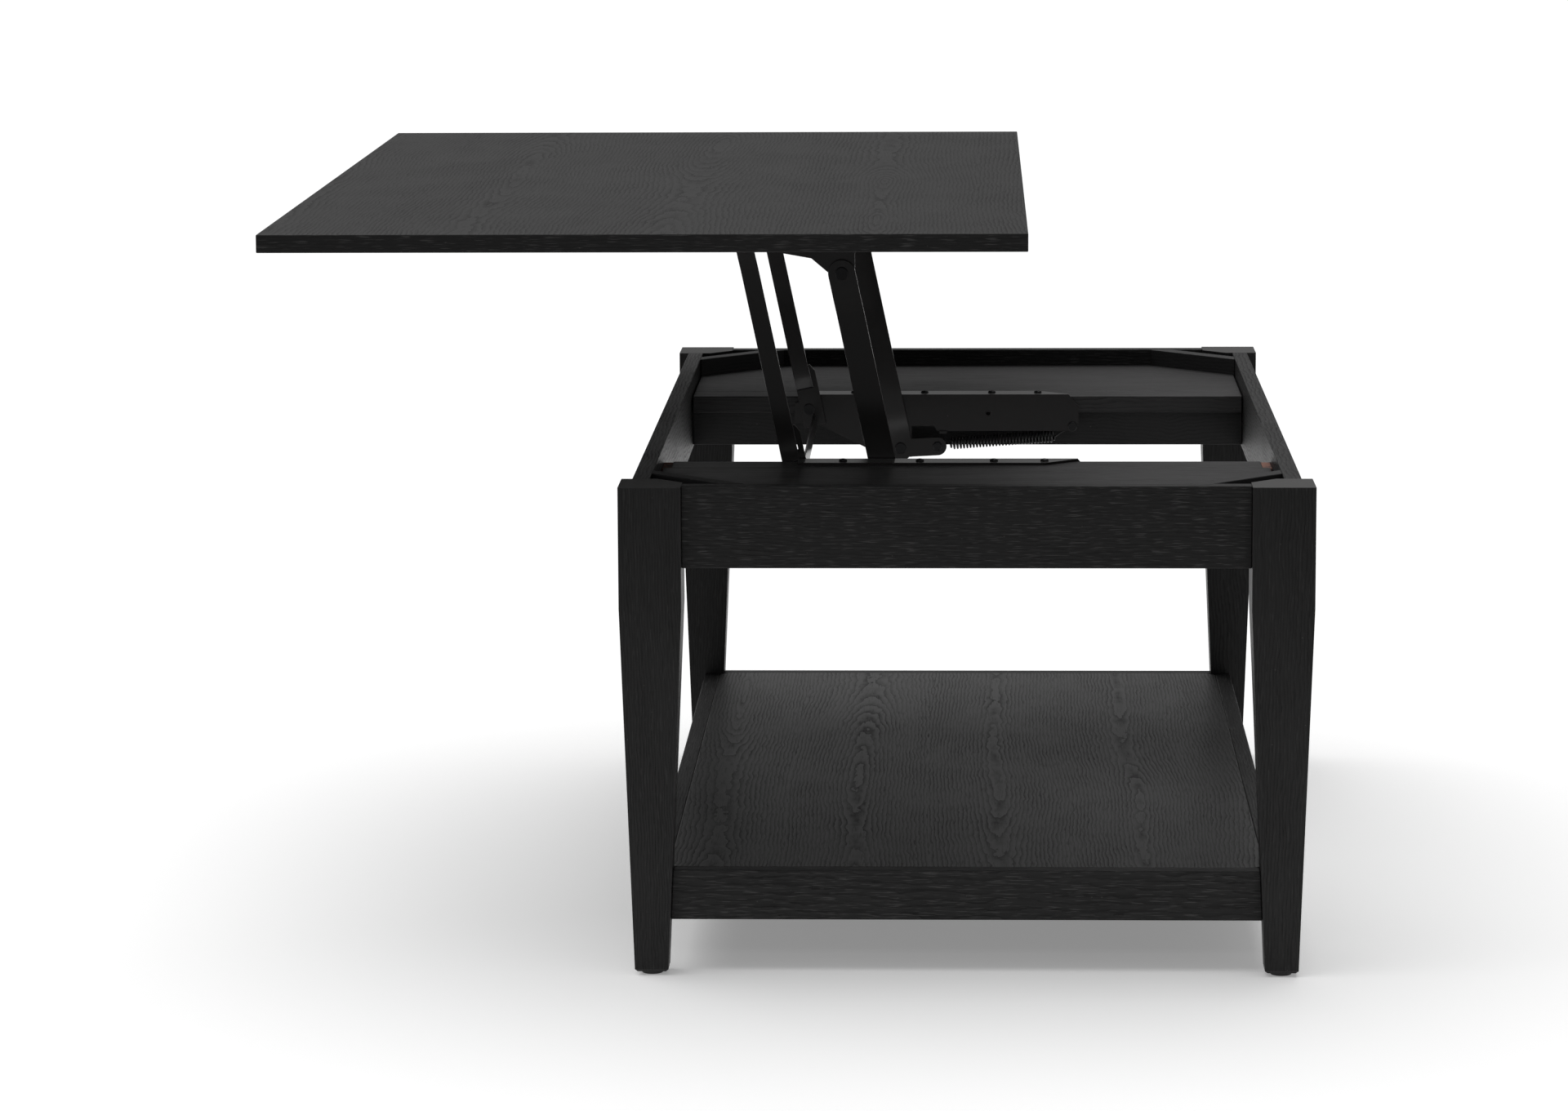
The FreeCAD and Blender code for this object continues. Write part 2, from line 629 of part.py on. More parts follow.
def wood_screw(x, y, z, upwards):
    """A pan-head screw through a flange into wood."""
    direction = Vector(0, 0, 1 if upwards else -1)
    seat = Vector(x, y, z)
    head = Part.makeCylinder(SCREW_HEAD_RADIUS, SCREW_HEAD, seat - direction*SCREW_HEAD, direction)
    rim = [edge for edge in head.Edges if edge.Closed and edge.CenterOfMass.distanceToPoint(seat) > 1]
    head = head.makeFillet(SCREW_HEAD/2, rim)
    shank = Part.makeCylinder(SCREW_RADIUS, SCREW_LENGTH, seat, direction)
    return head.fuse(shank).removeSplitter()


platform_screws = []
for end in ENDS:
    for along in FLANGE_SCREWS:
        screw_y = value(f"{edge_y(end)} + {inward(end)}*({{plate_layer}} - {{flange_width}}/2)")
        platform_screws.append(wood_screw(value("{wide_x}") + along, screw_y,
                                          value("{platform_z} + {plate_thickness}"), False))
group("platform_screws", platform_screws)

LOWER_RIVET = (("{plate_layer} - 1.6", "{plate_layer}", "6"),
               ("{plate_layer}", f"{{end_layer}} + {{arm_thickness}} + {HEAD_GAP}", "{rivet_radius}"),
               (f"{{end_layer}} + {{arm_thickness}} + {HEAD_GAP}", "{end_layer} + {arm_thickness} + 2.2", "6.2"))
TIE_FACE = f"{{end_layer}} + {{arm_thickness}} + {{tie_thickness}} + {HEAD_GAP}"
LOWER_BOLT = (("0.1", "{plate_layer}", "5.5"),
              ("{plate_layer}", TIE_FACE, "{rivet_radius}"),
              (TIE_FACE, TIE_FACE + " + 3", "6"))
ANCHOR = (("-{spring_layer} - 3.5", "{plate_layer} + {plate_thickness}", "{spring_bolt_radius}"),
          ("{plate_layer} + {plate_thickness}", "{plate_layer} + {plate_thickness} + 2.8", "5"))
group("wide_arm_rivets", [pin_stack("{wide_x}", "{wide_z}", end, LOWER_RIVET) for end in ENDS])
group("narrow_arm_bolts", [pin_stack("{narrow_x}", "{narrow_z}", end, LOWER_BOLT) for end in ENDS])
group("spring_anchors",
      [pin_stack("{wide_x} + {anchor_out}", "{wide_z} + {anchor_up}", end, ANCHOR) for end in ENDS])


# ---------------------------------------------------------------------------------------
# Lift linkage: arms, drawn along local +X from the lower pivot
# ---------------------------------------------------------------------------------------
def cranked_bar(body, width, end):
    """A flat bar whose middle steps into the opening, clear of the plates at its ends."""
    low, high = "{end_layer}", "{middle_layer}"
    half = f"{width}/2"
    path = [(f"-{half}", low), ("{crank_start}", low), ("{crank_end}", high),
            ("{arm_length} - {crank_end}", high), ("{arm_length} - {crank_start}", low),
            (f"{{arm_length}} + {half}", low)]
    lower_face = [(along, f"{inward(end)}*({layer})") for along, layer in path]
    upper_face = [(along, f"{inward(end)}*({layer} + {{arm_thickness}})") for along, layer in reversed(path)]
    side_view = new_sketch(body, "XY_Plane")
    draw_outline(side_view, lower_face + upper_face)
    pad(body, side_view, width, midplane=True)
    reach = value("{arm_length}/2")
    dress(body, "Fillet", f"{half} - 0.1",
          lambda middle, along: abs(along.y) > 0.99 and abs(middle.x - reach) > reach + 1)


def wide_arm(end):
    """The driving arm, with a short lever beside its lower pivot for the spring."""
    body = new_body(f"wide_arm_{end}")
    cranked_bar(body, "{wide_arm_width}", end)
    swing = "({lever_angle} - {raised_angle})"
    along, across = (f"cos{swing}", f"sin{swing}"), (f"-sin{swing}", f"cos{swing}")
    corners = []
    for reach, rise in (("0", "-1"), ("({lever_length} + {lever_height}/2)", "-1"),
                        ("({lever_length} + {lever_height}/2)", "1"), ("0", "1")):
        corners.append(tuple(f"{reach}*{along[k]} + {rise}*{{lever_height}}/2*{across[k]}" for k in (0, 1)))
    layer_pad(body, corners, "{end_layer}", "{arm_thickness}", end)
    tip = Vector(value(f"({{lever_length}} + {{lever_height}}/2)*{along[0]}"), 0,
                 value(f"({{lever_length}} + {{lever_height}}/2)*{along[1]}"))

    def at_tip(middle, along_edge):
        flat = Vector(middle.x, 0, middle.z)
        return abs(along_edge.y) > 0.99 and flat.distanceToPoint(tip) < value("{lever_height}")*0.6

    dress(body, "Fillet", "{lever_height}/2 - 0.1", at_tip)
    layer_holes(body, [("0", "0"), ("{arm_length}", "0")], "{rivet_radius} + {running_gap}")
    layer_holes(body, [tuple(f"{{lever_length}}*{part}" for part in along)], "{spring_bolt_radius}")
    place(body, "{wide_x}", edge_y(end), "{wide_z}")
    turn(body, "{raised_angle}")


def narrow_arm(end):
    """The guiding arm that keeps the top level."""
    body = new_body(f"narrow_arm_{end}")
    cranked_bar(body, "{narrow_arm_width}", end)
    layer_holes(body, [("0", "0"), ("{arm_length}", "0")], "{rivet_radius} + {running_gap}")
    place(body, "{narrow_x}", edge_y(end), "{narrow_z}")
    turn(body, "{raised_angle}")


for end in ENDS:
    wide_arm(end)
    narrow_arm(end)

LEVER_BOLT = (("-{spring_layer} - 3.5", "{end_layer} + {arm_thickness}", "{spring_bolt_radius}"),
              ("{end_layer} + {arm_thickness}", "{end_layer} + {arm_thickness} + 2.8", "5"))
for end in ENDS:
    group(f"lever_bolt_{end}", [pin_stack("{wide_x} + {lever_x}", "{wide_z} + {lever_z}", end, LEVER_BOLT)])


# ---------------------------------------------------------------------------------------
# Cross tie: one bent sheet piece that makes both narrow arms swing together
# ---------------------------------------------------------------------------------------
tie = new_body("cross_tie")
tie_inner_y = "({opening_half} - {end_layer} - {arm_thickness})"
strip = new_sketch(tie, "XZ_Plane")
strip_back, strip_face = "-{tie_offset}", "-({tie_offset} + {tie_thickness})"
draw_outline(strip, [("-{tie_start}", strip_back), ("-{tie_end}", strip_back),
                     ("-{tie_end}", strip_face), ("-{tie_start}", strip_face)])
pad(tie, strip, f"2*{tie_inner_y}", midplane=True)
ear_edge = "-({narrow_arm_width}/2 + 0.7)"
for end, sign in ENDS.items():
    ear = new_sketch(tie, "XZ_Plane", f"{-sign}*{tie_inner_y}")
    draw_outline(ear, [("-{tie_end}", "{narrow_arm_width}/2"), ("-{tie_end}", "-15"), ("40", "-15"),
                       ("48", "-11"), ("48", ear_edge), ("{crank_start} - 3", ear_edge),
                       ("{crank_start} - 3", "{narrow_arm_width}/2")])
    pad(tie, ear, "{tie_thickness}", reverse=sign < 0)
layer_holes(tie, [("0", "0")], "{rivet_radius} + {running_gap}")
place(tie, "{narrow_x}", "0", "{narrow_z}")
turn(tie, "{raised_angle}")


# ---------------------------------------------------------------------------------------
# Springs, each a plain sleeve of the coil's size with a hook to its bolt
# ---------------------------------------------------------------------------------------
derive("span_x", "{anchor_out} - {lever_x}")
derive("span_z", "{anchor_up} - {lever_z}")
derive("spring_span", "sqrt({span_x}^2 + {span_z}^2)")


def hook_ring(centre):
    """A ring of spring wire round a bolt, clear of it, in the XZ plane."""
    return Part.makeTorus(RING_RADIUS, value("{spring_wire}/2"), centre, Vector(0, 1, 0))


def spring_coil(end):
    """The sleeve from the anchor's hook to the lever's hook."""
    anchor = Vector(value("{wide_x} + {anchor_out}"), value(edge_y(end)) - inward(end)*value("{spring_layer}"),
                    value("{wide_z} + {anchor_up}"))
    towards = Vector(-value("{span_x}"), 0, -value("{span_z}")).normalize()
    hook, length = value("{spring_hook}"), value("{spring_span} - 2*{spring_hook}")
    outside = Part.makeCylinder(value("{spring_radius}"), length, anchor + towards*hook, towards)
    inside = Part.makeCylinder(value("{spring_radius} - {spring_wire}"), length - 2*value("{spring_wire}"),
                               anchor + towards*(hook + value("{spring_wire}")), towards)
    coil = outside.cut(inside)
    ring = hook_ring(anchor)
    stalk = Part.makeCylinder(value("{spring_wire}/2"), hook - RING_RADIUS + 1, anchor + towards*RING_RADIUS,
                              towards)
    return coil.fuse([ring, stalk]).removeSplitter()


def spring_end_hook(end):
    """The hook round the lever's bolt."""
    bolt = Vector(value("{wide_x} + {lever_x}"), value(edge_y(end)) - inward(end)*value("{spring_layer}"),
                  value("{wide_z} + {lever_z}"))
    towards = Vector(value("{span_x}"), 0, value("{span_z}")).normalize()
    ring = hook_ring(bolt)
    stalk = Part.makeCylinder(value("{spring_wire}/2"), value("{spring_hook}") - RING_RADIUS - HOOK_GAP,
                              bolt + towards*RING_RADIUS, towards)
    return ring.fuse(stalk).removeSplitter()


RING_RADIUS = 4.3
HOOK_GAP = 0.3
for end in ENDS:
    group(f"spring_{end}", [spring_coil(end)])
    group(f"spring_hook_{end}", [spring_end_hook(end)])


# ---------------------------------------------------------------------------------------
# Top
# ---------------------------------------------------------------------------------------
board("top_panel", ("{top_width}", "{top_length}", "{top_thickness}"),
      ("{top_x} - {top_width}/2", "-{top_length}/2", "{top_z}"))


def top_bracket(end):
    """A pressed plate under the top with the two upper pivots and a screwed flange."""
    body = new_body(f"top_bracket_{end}")
    top = "{pivot_to_top}"
    layer_pad(body, [("-{pivot_step_out} - 14", top), ("-{pivot_step_out} - 14", top + " - 30"),
                     ("-84", top + " - 32"), ("-58", "19.6"), ("-30", "14.6"), ("-10", "-2.4"), ("-9", "-10"),
                     ("9", "-10"), ("13", "-4"), ("13", "38"), ("24", top)],
              "{bracket_layer}", "{plate_thickness}", end)
    flange = new_sketch(body, "XY_Plane", top + " - {plate_thickness}")
    near_edge = f"{inward(end)}*{{bracket_layer}}"
    far_edge = f"{inward(end)}*({{bracket_layer}} + {{bracket_flange}})"
    draw_outline(flange, [("-{pivot_step_out} - 14", near_edge), ("24", near_edge), ("14", far_edge),
                          ("-{pivot_step_out} - 4", far_edge)])
    pad(body, flange, "{plate_thickness}")
    layer_holes(body, [("0", "0"), ("-{pivot_step_out}", "{pivot_step_up}")], "{rivet_radius}")
    middle = "{bracket_layer} + {plate_thickness} + {bracket_flange}/2"
    screw_holes(body, BRACKET_SCREWS, f"{inward(end)}*({middle})")
    place(body, "{upper_wide_x}", edge_y(end), "{upper_wide_z}")


for end in ENDS:
    top_bracket(end)

BRACKET_FACE = "{bracket_layer} + {plate_thickness}"
UPPER_WIDE = (("{end_layer} - 2", f"{{end_layer}} - {HEAD_GAP}", "6.4"),
              (f"{{end_layer}} - {HEAD_GAP}", BRACKET_FACE, "{rivet_radius}"),
              (BRACKET_FACE, BRACKET_FACE + " + 1.8", "6"))
UPPER_NARROW = ((f"{{end_layer}} - {HEAD_GAP}", BRACKET_FACE, "{rivet_radius}"),
                (BRACKET_FACE, BRACKET_FACE + " + 1.8", "6"))
upper_rivets = []
for end in ENDS:
    upper_rivets.append(pin_stack("{upper_wide_x}", "{upper_wide_z}", end, UPPER_WIDE))
    upper_rivets.append(pin_stack("{upper_narrow_x}", "{upper_narrow_z}", end, UPPER_NARROW))
group("upper_pivot_rivets", upper_rivets)

top_screws = []
for end in ENDS:
    for along in BRACKET_SCREWS:
        middle = value("{bracket_layer} + {plate_thickness} + {bracket_flange}/2")
        top_screws.append(wood_screw(value("{upper_wide_x}") + along,
                                     value(edge_y(end)) + inward(end)*middle,
                                     value("{top_z} - {plate_thickness}"), True))
group("top_screws", top_screws)


# ---------------------------------------------------------------------------------------
# Check every object, then write each node
# ---------------------------------------------------------------------------------------
doc.recompute()
for item in doc.Objects:
    faults = [state for state in item.State if state in ("Invalid", "Error")]
    if faults:
        raise RuntimeError(f"{item.Name} in {item.Label}: {faults}")
for piece in nodes:
    if piece.Shape.isNull() or not piece.Shape.isValid():
        raise RuntimeError(f"{piece.Label} has no valid shape")

os.makedirs("parts", exist_ok=True)
for piece in nodes:
    piece.Shape.exportStep(f"parts/{piece.Label}.step")
    box = piece.Shape.BoundBox
    print(f"{piece.Label:24s} {len(piece.Shape.Solids)} solid(s), {piece.Shape.Volume/1000:9.2f} cm3,"
          f" {box.XLength:7.1f} x {box.YLength:7.1f} x {box.ZLength:7.1f} mm")
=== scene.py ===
# %% [markdown]
# # A lift top coffee table in black stained oak
# The table is a framed base on four tapered legs, with a shelf below, a platform inside the
# frame at each end, and a top that rises on two spring linkages. Its sizes are already
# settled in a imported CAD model, so the first step brings that model in as a fixed frame.
# Everything made here is in metres and sits where the frame says.

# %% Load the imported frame
import json
import math

import bmesh
import bpy
from mathutils import Matrix, Vector


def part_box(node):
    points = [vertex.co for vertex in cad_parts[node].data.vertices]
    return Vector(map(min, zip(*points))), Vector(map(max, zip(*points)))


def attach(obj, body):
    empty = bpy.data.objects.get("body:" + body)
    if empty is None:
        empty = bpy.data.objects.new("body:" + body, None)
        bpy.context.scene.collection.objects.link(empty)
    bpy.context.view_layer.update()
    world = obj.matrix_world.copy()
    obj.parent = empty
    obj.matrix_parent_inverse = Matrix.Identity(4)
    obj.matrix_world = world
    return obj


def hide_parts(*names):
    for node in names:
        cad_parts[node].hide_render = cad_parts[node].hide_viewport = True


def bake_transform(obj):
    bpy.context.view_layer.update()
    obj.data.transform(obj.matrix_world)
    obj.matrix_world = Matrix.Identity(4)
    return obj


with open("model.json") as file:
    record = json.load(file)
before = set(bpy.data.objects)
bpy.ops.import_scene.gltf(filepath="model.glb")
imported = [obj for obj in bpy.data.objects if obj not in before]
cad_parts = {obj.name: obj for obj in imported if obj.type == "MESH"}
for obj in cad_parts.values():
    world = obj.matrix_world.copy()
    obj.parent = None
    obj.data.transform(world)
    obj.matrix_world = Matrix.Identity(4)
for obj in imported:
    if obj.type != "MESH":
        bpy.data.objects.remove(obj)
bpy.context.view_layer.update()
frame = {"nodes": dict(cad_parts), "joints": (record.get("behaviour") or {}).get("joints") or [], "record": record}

# %% [markdown]
# ## The camera
# A long lens from the near end of the table keeps the legs almost upright and lets the eye
# look a little way down onto the top. A camera looks along its own -Z, so it is tipped up
# from straight down, turned a little to the left, and rolled by a fraction of a degree.

# %% Camera
CAMERA_PLACE = (0.16912, -5.42179, 1.17587)
CAMERA_TURN = math.radians(2.067)
CAMERA_DOWN = math.radians(8.989)
CAMERA_ROLL = math.radians(-0.300)
SENSOR_WIDTH_MM, LENS_MM = 36, 120.84

lens = bpy.data.cameras.new("camera")
lens.sensor_width = SENSOR_WIDTH_MM
lens.lens = LENS_MM
camera = bpy.data.objects.new("camera", lens)
aim = (Matrix.Rotation(CAMERA_TURN, 4, "Z") @ Matrix.Rotation(math.pi/2 - CAMERA_DOWN, 4, "X")
       @ Matrix.Rotation(CAMERA_ROLL, 4, "Z"))
camera.matrix_world = Matrix.Translation(CAMERA_PLACE) @ aim
bpy.context.scene.collection.objects.link(camera)
bpy.context.scene.camera = camera
print("camera at", CAMERA_PLACE)

# %% [markdown]
# ## Nodes in a few words
# Materials and Geometry Nodes are both built from nodes and links. Two small helpers keep
# the later cells short: one adds a node with its settings and inputs, the other starts a
# group with named inputs and outputs. Two smaller ones fill a socket and do one calculation.

# %% Helpers for node trees
def feed(tree, socket, source):
    """Link a socket from another one, or give it a plain value."""
    if isinstance(source, bpy.types.NodeSocket):
        tree.links.new(source, socket)
    else:
        socket.default_value = source


def add(tree, kind, inputs=None, **settings):
    """Add a node; each input is given a plain value, or a socket to link from."""
    made = tree.nodes.new(kind)
    for name, setting in settings.items():
        setattr(made, name, setting)
    for name, source in (inputs or {}).items():
        feed(tree, made.inputs[name], source)
    return made


def maths(tree, operation, *terms):
    """One Math node, such as MULTIPLY or SQRT, and its result."""
    return add(tree, "ShaderNodeMath", dict(enumerate(terms)), operation=operation).outputs[0]


def new_group(name, kind, inputs, outputs):
    """An empty group with named sockets, each given as (name, socket type, default)."""
    tree = bpy.data.node_groups.new(name, kind)
    for direction, sockets in (("INPUT", inputs), ("OUTPUT", outputs)):
        for label, socket_type, *default in sockets:
            socket = tree.interface.new_socket(label, in_out=direction, socket_type=socket_type)
            if default:
                socket.default_value = default[0]
    return tree, tree.nodes.new("NodeGroupInput").outputs, tree.nodes.new("NodeGroupOutput")


FLOAT, VECTOR = "NodeSocketFloat", "NodeSocketVector"
print("helpers ready")

# %% [markdown]
# ## Floor and light
# Black furniture is lit by what it reflects. A pale floor lies under the table, a very wide
# soft sun stands for a bank of overhead boxes, and the sky is white to the eye but only about
# a fifth as bright to the table, so that upright faces stay black and the top takes a sheen.
# The floor glows a little, which thins the shadow on it. One small softbox in front glances
# off the bends in the steel.

# %% Floor
FLOOR_FRONT, FLOOR_BACK, FLOOR_HALF_WIDTH = -1.7, 24.0, 12.0
FLOOR_WHITE = (0.93, 0.93, 0.93, 1)
FLOOR_GLOW = 0.24
floor_mesh = bpy.data.meshes.new("floor")
floor_mesh.from_pydata([(-FLOOR_HALF_WIDTH, FLOOR_FRONT, 0), (FLOOR_HALF_WIDTH, FLOOR_FRONT, 0),
                        (FLOOR_HALF_WIDTH, FLOOR_BACK, 0), (-FLOOR_HALF_WIDTH, FLOOR_BACK, 0)],
                       [], [(0, 1, 2, 3)])
floor = bpy.data.objects.new("floor", floor_mesh)
bpy.context.scene.collection.objects.link(floor)
floor_paint = bpy.data.materials.new("pale_floor")
floor_paint.use_nodes = True
floor_shader = floor_paint.node_tree.nodes["Principled BSDF"]
floor_shader.inputs["Base Color"].default_value = FLOOR_WHITE
floor_shader.inputs["Roughness"].default_value = 0.9
floor_shader.inputs["Specular IOR Level"].default_value = 0.1
floor_shader.inputs["Emission Color"].default_value = (1, 1, 1, 1)
floor_shader.inputs["Emission Strength"].default_value = FLOOR_GLOW
floor.data.materials.append(floor_paint)
print("floor laid")

# %% Sky and sun
SKY_TO_TABLE = 0.22
SUN_STRENGTH = 2.35
SUN_SPREAD = math.radians(80)
SUN_LEAN = (math.radians(-14), math.radians(-16), 0)
SOFTBOX_PLACE = Vector((0.0, -4.6, 2.35))
SOFTBOX_WIDTH, SOFTBOX_HEIGHT, SOFTBOX_WATTS = 1.4, 0.6, 9

world = bpy.data.worlds.new("studio")
world.use_nodes = True
sky = world.node_tree
backdrop = sky.nodes["Background"]
seen = add(sky, "ShaderNodeLightPath").outputs["Is Camera Ray"]
brightness = add(sky, "ShaderNodeMapRange", {"Value": seen, "To Min": SKY_TO_TABLE, "To Max": 1.0})
backdrop.inputs["Color"].default_value = (1, 1, 1, 1)
sky.links.new(brightness.outputs[0], backdrop.inputs["Strength"])
bpy.context.scene.world = world
bpy.context.scene.view_settings.view_transform = "Standard"

overhead = bpy.data.lights.new("overhead", "SUN")
overhead.energy = SUN_STRENGTH
overhead.angle = SUN_SPREAD
overhead_light = bpy.data.objects.new("overhead", overhead)
overhead_light.rotation_euler = SUN_LEAN
bpy.context.scene.collection.objects.link(overhead_light)

softbox = bpy.data.lights.new("softbox", "AREA")
softbox.shape = "RECTANGLE"
softbox.size = SOFTBOX_WIDTH
softbox.size_y = SOFTBOX_HEIGHT
softbox.energy = SOFTBOX_WATTS
softbox_light = bpy.data.objects.new("softbox", softbox)
towards_table = (-SOFTBOX_PLACE).to_track_quat("-Z", "Y")
softbox_light.matrix_world = Matrix.Translation(SOFTBOX_PLACE) @ towards_table.to_matrix().to_4x4()
bpy.context.scene.collection.objects.link(softbox_light)
print("sky, sun and softbox set")

# %% [markdown]
# ## The figure of oak
# Sliced oak shows rings: a row of open pores where each year began, then dense wood. A slice
# near the heart cuts the rings into arches and islands, and away from it into lines. So the
# pattern is worked out as rings about a log's heart, which wanders along its length. The
# sheet is made of leaves laid side by side, each a slice from another place in the log, and
# one random number a leaf picks the place. The board's face is at height zero, so that the
# heart lies just under it.

# %% Oak figure group: which leaf, and how far from the heart
LEAF_DRIFT, DRIFT_SCALE = 0.03, 1.6
WANDER_ACROSS, WANDER_ALONG, WANDER_SCALE = 1.3, 0.6, 2.1
LOG_SPREAD = 40.0
oak, given, result = new_group(
    "oak_figure", "ShaderNodeTree",
    [("Vector", VECTOR), ("Leaf Width", FLOAT, 0.2), ("Ring Gap", FLOAT, 0.005),
     ("Heart Depth", FLOAT, 0.03), ("Wander", FLOAT, 0.08), ("Seed", FLOAT, 0.0)],
    [("Ring", FLOAT), ("Pores", FLOAT), ("Fibre", FLOAT), ("Glint", FLOAT), ("Height", FLOAT)])
split = add(oak, "ShaderNodeSeparateXYZ", {0: given["Vector"]}).outputs
drift = add(oak, "ShaderNodeTexNoise", {"Vector": given["Vector"], "Scale": DRIFT_SCALE, "Detail": 1.0})
bent = maths(oak, "MULTIPLY_ADD", drift.outputs["Fac"], LEAF_DRIFT, split["X"])
leaf = maths(oak, "FLOOR", maths(oak, "DIVIDE", bent, given["Leaf Width"]))
middle = maths(oak, "MULTIPLY", maths(oak, "ADD", leaf, 0.5), given["Leaf Width"])
across = maths(oak, "SUBTRACT", bent, middle)
chance = add(oak, "ShaderNodeTexWhiteNoise", {"W": maths(oak, "ADD", leaf, given["Seed"])},
             noise_dimensions="1D")
lots = add(oak, "ShaderNodeSeparateColor", {0: chance.outputs["Color"]}).outputs

place = add(oak, "ShaderNodeCombineXYZ", {"X": maths(oak, "MULTIPLY", across, WANDER_ACROSS),
                                          "Y": maths(oak, "MULTIPLY", split["Y"], WANDER_ALONG),
                                          "Z": split["Z"]})
waves = add(oak, "ShaderNodeTexNoise",
            {"Vector": place.outputs[0], "W": maths(oak, "MULTIPLY", lots["Red"], LOG_SPREAD),
             "Scale": WANDER_SCALE, "Detail": 1.3, "Roughness": 0.3}, noise_dimensions="4D")
rise = maths(oak, "MULTIPLY", maths(oak, "SUBTRACT", waves.outputs["Fac"], 0.5), given["Wander"])
depth = maths(oak, "MULTIPLY_ADD", lots["Green"], given["Heart Depth"], rise)
depth = maths(oak, "ADD", maths(oak, "ADD", depth, split["Z"]), given["Heart Depth"])
radius = maths(oak, "SQRT", maths(oak, "MULTIPLY_ADD", across, across,
                                   maths(oak, "MULTIPLY", depth, depth)))
print("leaves and heart worked out")

# %% Oak figure group: ragged rings, pores, fibres and painted glints
# Each kind of streak has a scale across the grain, a share of that along it, and a detail.
COARSE_WOBBLE, COARSE_REACH = (60, 0.40, 3), 0.0065
FINE_WOBBLE, FINE_REACH = (330, 0.10, 1), 0.0016
FADING, PORES, FIBRES, PAINTED_GLINT_STREAKS = (26, 0.3, 1), (620, 0.05, 1), (300, 0.02, 3), (1150, 0.045, 1)
RING_FALL = 2.4
RING_SINK, PORE_SINK, FIBRE_RISE = -0.6, -0.5, 0.25


def streaks(scale, length, detail):
    """Noise drawn out along the grain."""
    stretched = add(oak, "ShaderNodeCombineXYZ", {"X": split["X"], "Z": split["Z"],
                                                  "Y": maths(oak, "MULTIPLY", split["Y"], length)})
    made = add(oak, "ShaderNodeTexNoise",
               {"Vector": stretched.outputs[0], "Scale": scale, "Detail": detail})
    return made.outputs["Fac"]


def share_between(tree, source, low, high, **sockets):
    """How far a value has come from low to high, from 0 to 1."""
    inputs = {"Value": source, "From Min": low, "From Max": high}
    inputs.update((name.replace("_", " ").title(), given_value) for name, given_value in sockets.items())
    return add(tree, "ShaderNodeMapRange", inputs).outputs[0]


swing = maths(oak, "SUBTRACT", streaks(*COARSE_WOBBLE), 0.5)
ragged = maths(oak, "MULTIPLY_ADD", swing, COARSE_REACH, radius)
ragged = maths(oak, "MULTIPLY_ADD", streaks(*FINE_WOBBLE), FINE_REACH, ragged)
turn = maths(oak, "FRACT", maths(oak, "DIVIDE", ragged, given["Ring Gap"]))
faded = share_between(oak, streaks(*FADING), 0.35, 0.60, to_min=0.5)
ring = maths(oak, "MULTIPLY", maths(oak, "POWER", maths(oak, "SUBTRACT", 1.0, turn), RING_FALL), faded)
pore = share_between(oak, streaks(*PORES), 0.56, 0.66)
pores = maths(oak, "MULTIPLY", pore, maths(oak, "MULTIPLY_ADD", ring, 0.75, 0.25))
fibre = streaks(*FIBRES)
# Glints are short light dashes for the colour: a painted highlight of pore edges catching the light.
painted_glint_mask = share_between(oak, streaks(*PAINTED_GLINT_STREAKS), 0.60, 0.68)
sunk = maths(oak, "MULTIPLY_ADD", ring, RING_SINK, maths(oak, "MULTIPLY", pores, PORE_SINK))
height = maths(oak, "MULTIPLY_ADD", fibre, FIBRE_RISE, maths(oak, "ADD", sunk, 1.0))
for label, socket in (("Ring", ring), ("Pores", pores), ("Fibre", fibre), ("Glint", painted_glint_mask),
                      ("Height", height)):
    oak.links.new(socket, result.inputs[label])
print("oak figure group:", len(oak.nodes), "nodes")

# %% [markdown]
# ## Use and edges
# Every finish is painted lighter along its edges, a painted highlight where an edge catches the
# light first, and every flat face has been wiped and handled. Every finish needs both, so each is
# made once, as a group. One finds edges by comparing the true surface direction with a rounded
# one. The other gives soft cloudy smudges and a sprinkle of dust.

# %% Edge and handling groups
edges, given, result = new_group("thin_edges", "ShaderNodeTree",
                                 [("Width", FLOAT, 0.0015), ("Strength", FLOAT, 1.0)], [("Edge", FLOAT)])
# The edge mask is used for a painted highlight along every edge.
rounded = add(edges, "ShaderNodeBevel", {"Radius": given["Width"]}, samples=4)
true = add(edges, "ShaderNodeNewGeometry")
match = add(edges, "ShaderNodeVectorMath", {0: rounded.outputs[0], 1: true.outputs["True Normal"]},
            operation="DOT_PRODUCT")
edge = share_between(edges, match.outputs["Value"], 0.995, 0.80, to_max=given["Strength"])
edges.links.new(edge, result.inputs["Edge"])

handled, given, result = new_group("handled_surface", "ShaderNodeTree",
                                   [("Vector", VECTOR), ("Dust", FLOAT, 0.5)],
                                   [("Smudge", FLOAT), ("Dust", FLOAT)])
cloud = add(handled, "ShaderNodeTexNoise", {"Vector": given["Vector"], "Scale": 7.0, "Detail": 4.0})
specks = add(handled, "ShaderNodeTexVoronoi", {"Vector": given["Vector"], "Scale": 60.0})
dust = share_between(handled, specks.outputs["Distance"], 0.05, 0.02, to_max=given["Dust"])
handled.links.new(cloud.outputs["Fac"], result.inputs["Smudge"])
handled.links.new(dust, result.inputs["Dust"])
print("edge and handling groups ready")

# %% [markdown]
# ## Black stained oak
# The stain takes the wood almost to black, and the satin lacquer lies on the dense wood but
# sinks into the pores. So the colour changes little, and the lacquer a lot: it is a coat
# whose weight drops in the rings and pores, over a wood that is duller than the coat. Grain
# runs along each board, so the same recipe is made once for each direction.

# %% Helpers for finishes
MIX_FIRST, MIX_SECOND, MIX_RESULT = 6, 7, 2
DUST, THIN_DUST, FAINT_DUST = (0.12, 0.115, 0.11), (0.10, 0.095, 0.09), (0.09, 0.085, 0.08)


